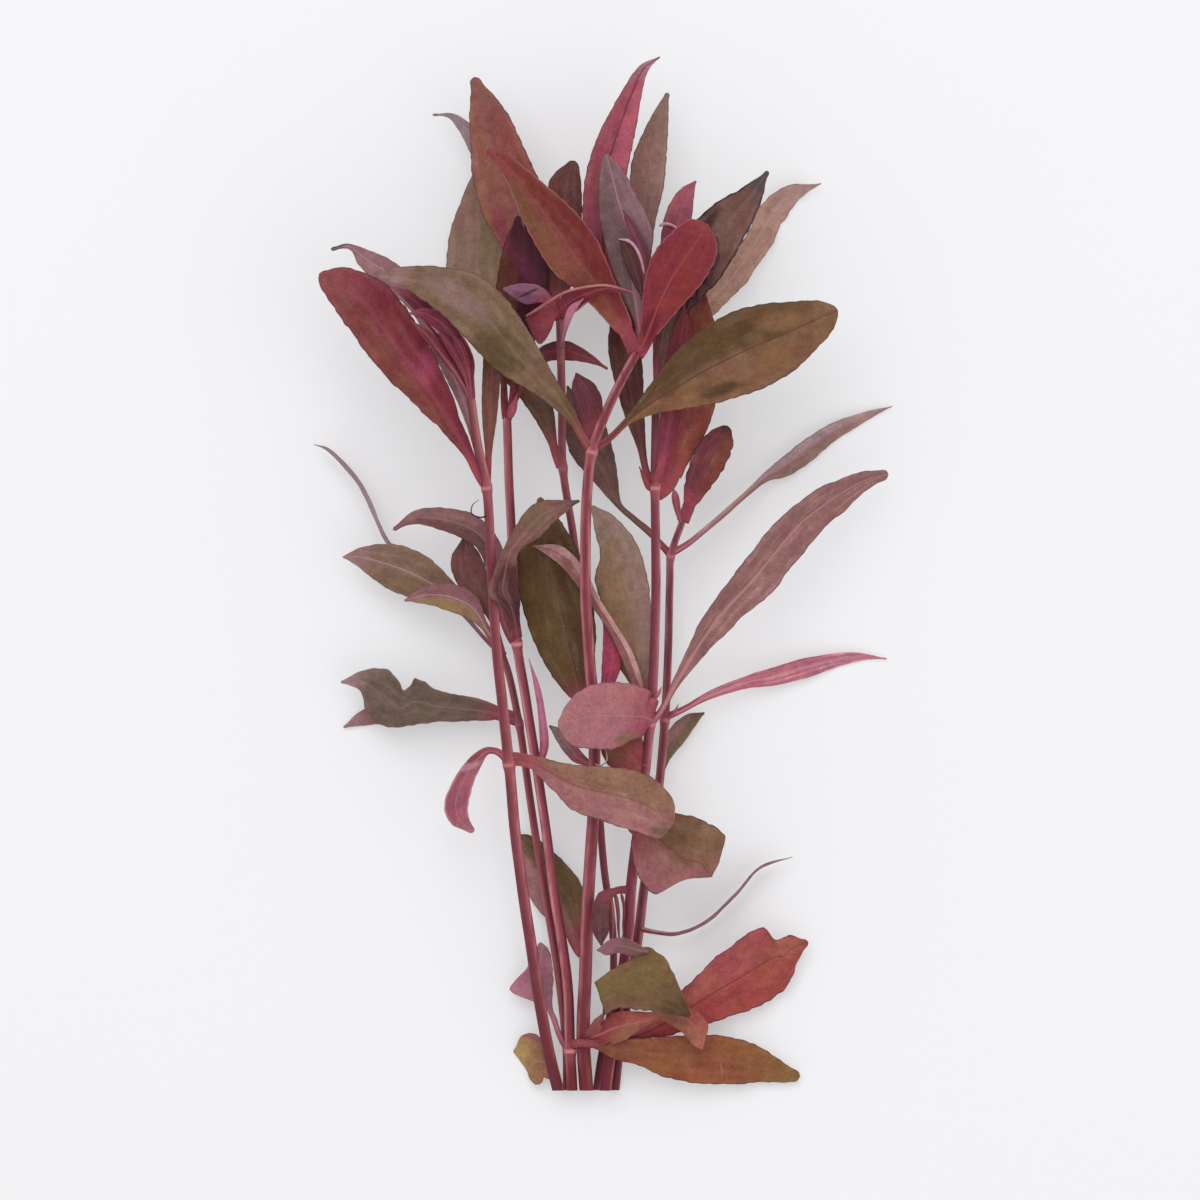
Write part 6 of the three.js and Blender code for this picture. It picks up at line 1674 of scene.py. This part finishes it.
        (15.3, 214, 27), (16.5, 220, 26.6), (20, 225.6, 26)), ((15.6, 185, 26.8), (19.6, 200, 26.6), (22.4, 213, 26),
        (23.2, 221, 25.6)), 0.5, LeafLook(Slot.RED_STEM, 0x964A58, 0x82303C, 0xAC5C6E, 0xBE6E82, 0x6E3440,
        ends=(0.3, 0.6), veins=0.25), node="right_stem"),
    Leaf("right_stem_orange_leaf", (11, 79.4, 17.4), (0.6, 89.8, 21), ((6.6, 80.2, 18.4), (2.2, 81.6, 19.6),
        (0.4, 85, 20.4)), ((11.2, 84.6, 18.6), (9.8, 90.6, 19.6), (5, 93.4, 20.4)), 0.3,
        LeafLook(Slot.RED_STEM, 0x84563E, 0x784238, 0x805C44, 0xB4735C, 0x6E3E32), node="right_stem"),
    Leaf("right_stem_dark_sliver", (13.4, 150.4, 25.4), (9.75, 156.4, 26.4), ((11.9, 150.4, 26), (10.6, 153, 26.4)),
        ((12.7, 151.4, 26.2), (11.3, 154.2, 26.6)), 0.1,
        LeafLook(Slot.RED_STEM, 0x46242A, 0x5A2A30, 0x3C2426, 0x64383C, rib_share=0.3), Relief(0.15, 0, 0.4, 0, 0.1),
        node="right_stem"),
    Leaf("far_right_stem_olive_leaf", (14.2, 71, 7.4), (26.25, 94.75, 4.4), ((13.9, 77, 5.8), (15, 84, 4.8),
        (17.4, 90.6, 4.4), (22, 94.4, 4.4)), ((15.1, 76.8, 5.6), (17.6, 83, 4.2), (21.25, 87.5, 3.6),
        (24.4, 92, 3.8)), 0.4, LeafLook(Slot.RED_STEM, 0x846C54, 0x80544E, 0x745C42, 0x916458, 0x966E69,
        left=0xA07078), node="far_right_stem"),
    Leaf("far_right_stem_bud_leaf", (20.4, 141.8, 16.2), (18.3, 151, 19.4), ((18.9, 144.6, 17.4),
        (17.9, 148.6, 18.6)), ((20.2, 145.6, 17.8), (19.6, 149.4, 19)), 0.2,
        LeafLook(Slot.RED_STEM, 0xA5646C, 0x8C424A, 0xBE828A, 0xC3878E, 0x8C555C, rib_share=0.3),
        Relief(0.2, 0.1, 0.5, 0, 0.1), node="far_right_stem"),
    Leaf("left_young_tuft_inner_leaf", (-32.7, 175.4, 36.6), (-41, 191, 39.3), ((-34.8, 180, 37.6),
        (-38.2, 185.6, 38.6)), ((-33.2, 180.6, 38.2), (-36.2, 186.4, 39.2)), 0.2, LeafLook(Slot.CRIMSON, 0x762C3A,
        None, None, None, 0xE0A2AA, stalk=0xA85460, rim_share=1, rim_width=0.5, veins=0.2),
        Relief(0.15, 0.1, 0.4, 0, 0.1), node="left_young_tuft"),
    Leaf("left_young_tuft_rim_leaf", (-32.2, 175.6, 37), (-37.4, 190, 40), ((-33.6, 180.4, 38.6),
        (-35.8, 185.4, 39.5)), ((-32.2, 181, 39), (-33.8, 186.4, 39.8)), 0.2, LeafLook(Slot.CRIMSON, 0x702836, None,
        None, None, 0xE2A6AC, stalk=0xA85460, rim_share=1, rim_width=0.5, veins=0.2), Relief(0.15, 0.1, 0.4, 0, 0.1),
        node="left_young_tuft"),
    Leaf("left_young_tuft_edge_leaf", (-33.2, 175.2, 36.2), (-42.4, 187.6, 37.8), ((-36.2, 179.2, 36.6),
        (-39.4, 183.4, 37.2)), ((-35.6, 179.8, 37), (-38.9, 184.2, 37.6)), 0.1, LeafLook(Slot.CRIMSON, 0x8C424E,
        None, None, None, 0xDC9EA6, stalk=0xA85460, rim_share=1, rim_width=0.5, veins=0.2),
        Relief(0.15, 0.1, 0.4, 0, 0.1), node="left_young_tuft"),
    Leaf("middle_young_tuft_fold_leaf", (-9.4, 187.4, 30.6), (-4, 198.2, 37.6), ((-9.2, 191.4, 32.6),
        (-7.8, 196, 35)), ((-7.9, 191, 33), (-6.3, 194.6, 35.4)), 0.2, LeafLook(Slot.CRIMSON, 0xBE768A, None, None,
        None, 0xD696A5, stalk=0x783242, rim_share=0.7, veins=0.2), Relief(0.2, 0.1, 0.5, 0, 0.1),
        node="middle_young_tuft"),
    Leaf("middle_young_tuft_band_leaf", (-18.4, 193.8, 31.6), (8.6, 199.4, 39.4), ((-15.6, 196, 33.2),
        (-12.8, 197.8, 34.6), (-8.6, 200.1, 37.2), (-4, 201.2, 38.9), (1.2, 201.7, 39.7), (5, 200.9, 39.6)),
        ((-15.3, 195.3, 33.2), (-12.4, 197.2, 34.6), (-8.2, 199.5, 37.2), (-3.8, 200.6, 38.9), (1.2, 201.1, 39.7),
        (5, 200.4, 39.6)), 0.05, LeafLook(Slot.CRIMSON, 0xB47472, None, None, None, 0x965458, stalk=0xB2706E,
        rib_share=0, rim_share=0.6, veins=0.1), Relief(0.15, 0, 0.3, 0, 0), node="middle_young_tuft"),
    Leaf("grey_centre_leaf_brown_bract", (10.7, 198, 33.9), (4.6, 213.2, 34.6), ((8.4, 201.6, 34.2),
        (5.6, 208.6, 34.4)), ((11.2, 203, 34.6), (8.9, 210.4, 34.8)), 0.2, LeafLook(Slot.DARK_BROWN, 0x522E2C, None,
        None, None, 0xBA7E8A, stalk=0x5A2E32, rim_share=0.55, rim_width=0.35, veins=0.1),
        Relief(0.15, 0.1, 0.4, 0, 0), node="grey_centre_leaf"),
    Leaf("grey_centre_leaf_purple_bract", (11, 198.6, 34.6), (5.6, 220.4, 35.2), ((10.4, 204, 35),
        (8.8, 209.6, 35.2), (6.8, 214.8, 35.2)), ((12.3, 205, 35.2), (11.4, 211, 35.6), (8.4, 217, 35.4)), 0.3,
        LeafLook(Slot.PURPLE, 0x703446, None, None, None, 0xB88098, stalk=0x783446, rim_share=0.8, rim_width=0.4,
        veins=0.1), Relief(0.15, 0.15, 0.4, 0.05, 0), node="grey_centre_leaf"),
    Leaf("front_foot_leaf_curl", (12.2, 35.1, 22.9), (-0.9, 35.4, 20.7), ((8.6, 34, 22.6), (4.4, 34.8, 22.3),
        (1.6, 34.2, 21.4)), ((9.4, 37.2, 23.4), (5.6, 38.7, 23.3), (2.2, 38, 22.3)), -0.3,
        LeafLook(Slot.OLIVE, 0x925E66, None, 0x9E6870, None, 0xC4949E, stalk=0x78584C, rim_share=0.6),
        Relief(0.3, 0.2, 0.5, 0.05, 0), node="front_foot_leaf"),
)

STRANDS = (
    Strand("front_left_stem_thread", "front_left_stem", 0.22, ((-28, 144, 32), (-30, 143.6, 33.5),
        (-32, 144.6, 34.4), (-31.8, 146.6, 34.8), (-30.2, 148, 34.6)), 0x3C2228, Slot.RED_STEM),
    Strand("centre_stem_loop_thread", "centre_stem", 0.2, ((-1.5, 82.2, 20.4), (-0.7, 81.8, 22.8), (0.6, 81.8, 24.4),
        (1.7, 83, 25), (1.4, 85.6, 24.8), (0.4, 87, 24)), 0xCDA5A0, Slot.RED_STEM),
    Strand("right_stem_upper_bud", "right_stem", 0.55, ((13.3, 98.2, 20.4), (14.6, 99.7, 21.4),
        (15.5, 101.4, 21.8)), 0xBE6E7D, Slot.RED_STEM, bud=True),
    Strand("far_right_stem_upper_bud", "far_right_stem", 0.5, ((16.8, 93, 10.4), (18.7, 95, 11.6),
        (19.7, 97, 12)), 0xB96976, Slot.RED_STEM, bud=True),
    Strand("bent_brown_leaf_left_thread", "bent_brown_leaf", 0.5, ((2.4, 49.4, 15.3), (3.1, 46, 15.6),
        (3.3, 42, 15.4), (3, 37, 15)), 0x965C5E, Slot.DARK_BROWN),
    Strand("bent_brown_leaf_middle_thread", "bent_brown_leaf", 0.55, ((3.8, 49.8, 15), (4.5, 45, 15.2),
        (4.6, 41, 15), (4.9, 36.8, 14.8)), 0x8A464C, Slot.DARK_BROWN),
    Strand("bent_brown_leaf_right_thread", "bent_brown_leaf", 0.4, ((5.2, 50.2, 14.6), (6, 46, 14.9),
        (5.8, 41, 14.8), (6.1, 37, 14.6)), 0x783C42, Slot.DARK_BROWN),
    Strand("rear_left_stem_pink_bud", "rear_left_stem", 1.05, ((-22.6, 168.4, 24.6), (-21.6, 171.4, 25.6),
        (-20.6, 174.6, 26)), 0xB05664, Slot.RED_STEM, bud=True),
    Strand("dark_right_leaf_ruffle", "dark_right_leaf", 1.15, ((29, 213.6, 30.9), (28.3, 210.8, 31),
        (28.6, 207.8, 30.7), (27, 205.4, 30.8), (26.8, 202.4, 30.4), (24.9, 200.8, 30.5), (24.4, 198.4, 30.2),
        (22.4, 197.6, 30.1), (21.6, 195.8, 29.9), (20, 195.6, 29.7)), 0x5C3642, Slot.DARK_BROWN, knobs=0.16),
    Strand("grey_centre_leaf_pale_thread", "grey_centre_leaf", 0.42, ((4.6, 213, 34.9), (7.4, 212.4, 35.1),
        (9.4, 210, 35.3), (10.6, 206.6, 35.2), (11.1, 202.6, 34.8), (11, 198.6, 34.2)), 0xCE9CA8, Slot.MAUVE),
    Strand("right_stem_pink_leaf_thread", "right_stem", 0.5, ((14.7, 216.4, 27), (16.6, 216.9, 27.2),
        (18.6, 216.2, 27.2), (20.4, 215, 26.8)), 0xD6A0A8, Slot.RED_STEM),
)


@dataclass
class Plant:
    """The whole plant.

    Attributes:
        paints: Makes the materials.
        stems: The stems.
        leaves: The leaves.
        strands: The threads and buds.
    """

    paints: Paintbox
    stems: tuple[Stem, ...] = STEMS
    leaves: tuple[Leaf, ...] = LEAVES
    strands: tuple[Strand, ...] = STRANDS

    HOLD_STEPS = 600

    def _report(self, piece: bpy.types.Object, node: str, slot: Slot) -> None:
        """Args:
            piece: The object.
            node: The solid that it takes the place of.
            slot: The record's slot of its finish.
        """
        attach(piece, BODY)
        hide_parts(node)
        log.info("%s: %d faces, for %s, %s", piece.name, len(piece.data.polygons), node, slot.value)

    def _hold(self, leaf: Leaf) -> Hold | None:
        """The place on a stem nearest to a leaf's foot. Args: leaf. Returns: It, or None where none is near."""
        best, nearest = leaf.JOIN_REACH, None
        places = np.linspace(0, 1, self.HOLD_STEPS)
        for stem in self.stems:
            found = stem.line.at(places)
            away = np.linalg.norm(found - np.array(leaf.base, float), axis=1)
            spot = int(away.argmin())
            if away[spot] < best:
                best = float(away[spot])
                way = unit(found[min(spot + 1, self.HOLD_STEPS - 1)] - found[max(spot - 1, 0)])
                foot, top = stem.radius
                nearest = Hold(found[spot], way, foot + (top - foot) * places[spot])
        return nearest

    def build_stems(self) -> None:
        """Makes the stems."""
        for stem in self.stems:
            piece = stem.skin().build(f"{stem.name}_stalk")
            piece.data.materials.append(self.paints.stem(piece.name, stem.look))
            self._report(piece, stem.name, stem.look.slot)

    def build_leaves(self) -> None:
        """Makes the leaves and the young leaves of the stems and tufts."""
        for leaf in self.leaves:
            piece = leaf.skin(self._hold(leaf)).build(leaf.piece)
            piece.data.materials.append(self.paints.leaf(piece.name, leaf.look))
            self._report(piece, leaf.node or leaf.name, leaf.look.slot)

    def build_strands(self) -> None:
        """Makes the threads and buds."""
        for strand in self.strands:
            piece = strand.skin().build(strand.name)
            look = LeafLook(strand.slot, strand.tint, veins=0.0, rib_share=0.0, rim_share=0.0)
            piece.data.materials.append(self.paints.leaf(piece.name, look))
            self._report(piece, strand.node, look.slot)


@dataclass(frozen=True)
class Studio:
    """The plain pale floor, the soft light and the camera that looks straight down.

    Attributes:
        floor_tone: The floor's colour.
        floor_glow: How strongly it is lit from below, as a light table is.
        floor_size: Its side in metres.
        frame_width: How much the picture is wide at the plant, in metres.
        middle: X and Y in the picture's middle, in metres.
        plane: The height at which the width is measured, in metres.
        distance: From there to the camera, in metres.
        sensor: The camera's sensor in millimetres.
        sky: The strength of the light from all round.
        key: The strength in watts, the place and the side in metres of the main light.
        fill: The same of the other one.
    """

    floor_tone: Rgb = 0xBCBCBF
    floor_glow: float = 0.32
    floor_size: float = 4.0
    frame_width: float = 0.3
    middle: tuple[float, float] = (-0.00075, -0.0064)
    plane: float = 0.02
    distance: float = 5.0
    sensor: float = 36.0
    sky: float = 0.74
    key: tuple[float, Point, float] = (12.5, (-0.3, 0.75, 1.5), 1.3)
    fill: tuple[float, Point, float] = (5.0, (0.9, -0.5, 1.3), 1.6)

    WHITE = (1.0, 1.0, 1.0, 1.0)
    FLOOR_GAP = 0.3 * MM
    FLOOR_ROUGH = 0.9
    FAR = 20.0

    def lay_floor(self, height: float) -> None:
        """Lays the floor just under the plant. Args: height: The Z of the plant's lowest point, in metres."""
        half, height = self.floor_size / 2, height - self.FLOOR_GAP
        corners = [(x * half, y * half, height) for x, y in ((-1, -1), (1, -1), (1, 1), (-1, 1))]
        mesh = bpy.data.meshes.new("floor")
        mesh.from_pydata(corners, [], [(0, 1, 2, 3)])
        floor = bpy.data.objects.new("floor", mesh)
        bpy.context.scene.collection.objects.link(floor)
        material = bpy.data.materials.new("floor")
        material.use_nodes = True
        shader = material.node_tree.nodes["Principled BSDF"]
        inputs = {
            "Base Color": linear(self.floor_tone), "Roughness": self.FLOOR_ROUGH,
            "Emission Color": self.WHITE, "Emission Strength": self.floor_glow,
        }
        for key, value in inputs.items():
            shader.inputs[key].default_value = value
        mesh.materials.append(material)
        floor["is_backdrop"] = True

    def _lamp(self, name: str, power: float, place: Point, side: float) -> None:
        """Adds a soft lamp that points at the plant. Args: name. power: In watts. place, side: In metres."""
        light = bpy.data.lights.new(name, "AREA")
        light.energy, light.size = power, side
        lamp = bpy.data.objects.new(name, light)
        lamp.location = place
        away = math.hypot(place[0], place[1])
        lamp.rotation_euler = (math.atan2(away, place[2]), 0.0, math.atan2(place[1], place[0]) + math.pi / 2)
        bpy.context.scene.collection.objects.link(lamp)

    def set_up(self) -> None:
        """Adds the lights and the camera."""
        scene = bpy.context.scene
        world = bpy.data.worlds.new("studio")
        world.use_nodes = True
        background = world.node_tree.nodes["Background"].inputs
        background["Color"].default_value = self.WHITE
        background["Strength"].default_value = self.sky
        scene.world = world
        self._lamp("key", *self.key)
        self._lamp("fill", *self.fill)
        data = bpy.data.cameras.new("camera")
        data.sensor_width = self.sensor
        data.lens = self.sensor * self.distance / self.frame_width
        data.clip_end = self.FAR
        camera = bpy.data.objects.new("camera", data)
        camera.location = (*self.middle, self.plane + self.distance)
        scene.collection.objects.link(camera)
        scene.camera = camera
        scene.view_settings.view_transform = "Standard"


def main() -> None:
    """Builds the plant and the studio round it."""
    logging.basicConfig(level=logging.INFO, format="%(name)s: %(message)s")
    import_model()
    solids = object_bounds()
    plant = Plant(Paintbox())
    plant.build_stems()
    plant.build_leaves()
    plant.build_strands()
    studio = Studio()
    studio.lay_floor(float(solids[0][2]))
    studio.set_up()


if __name__ == "__main__":
    main()
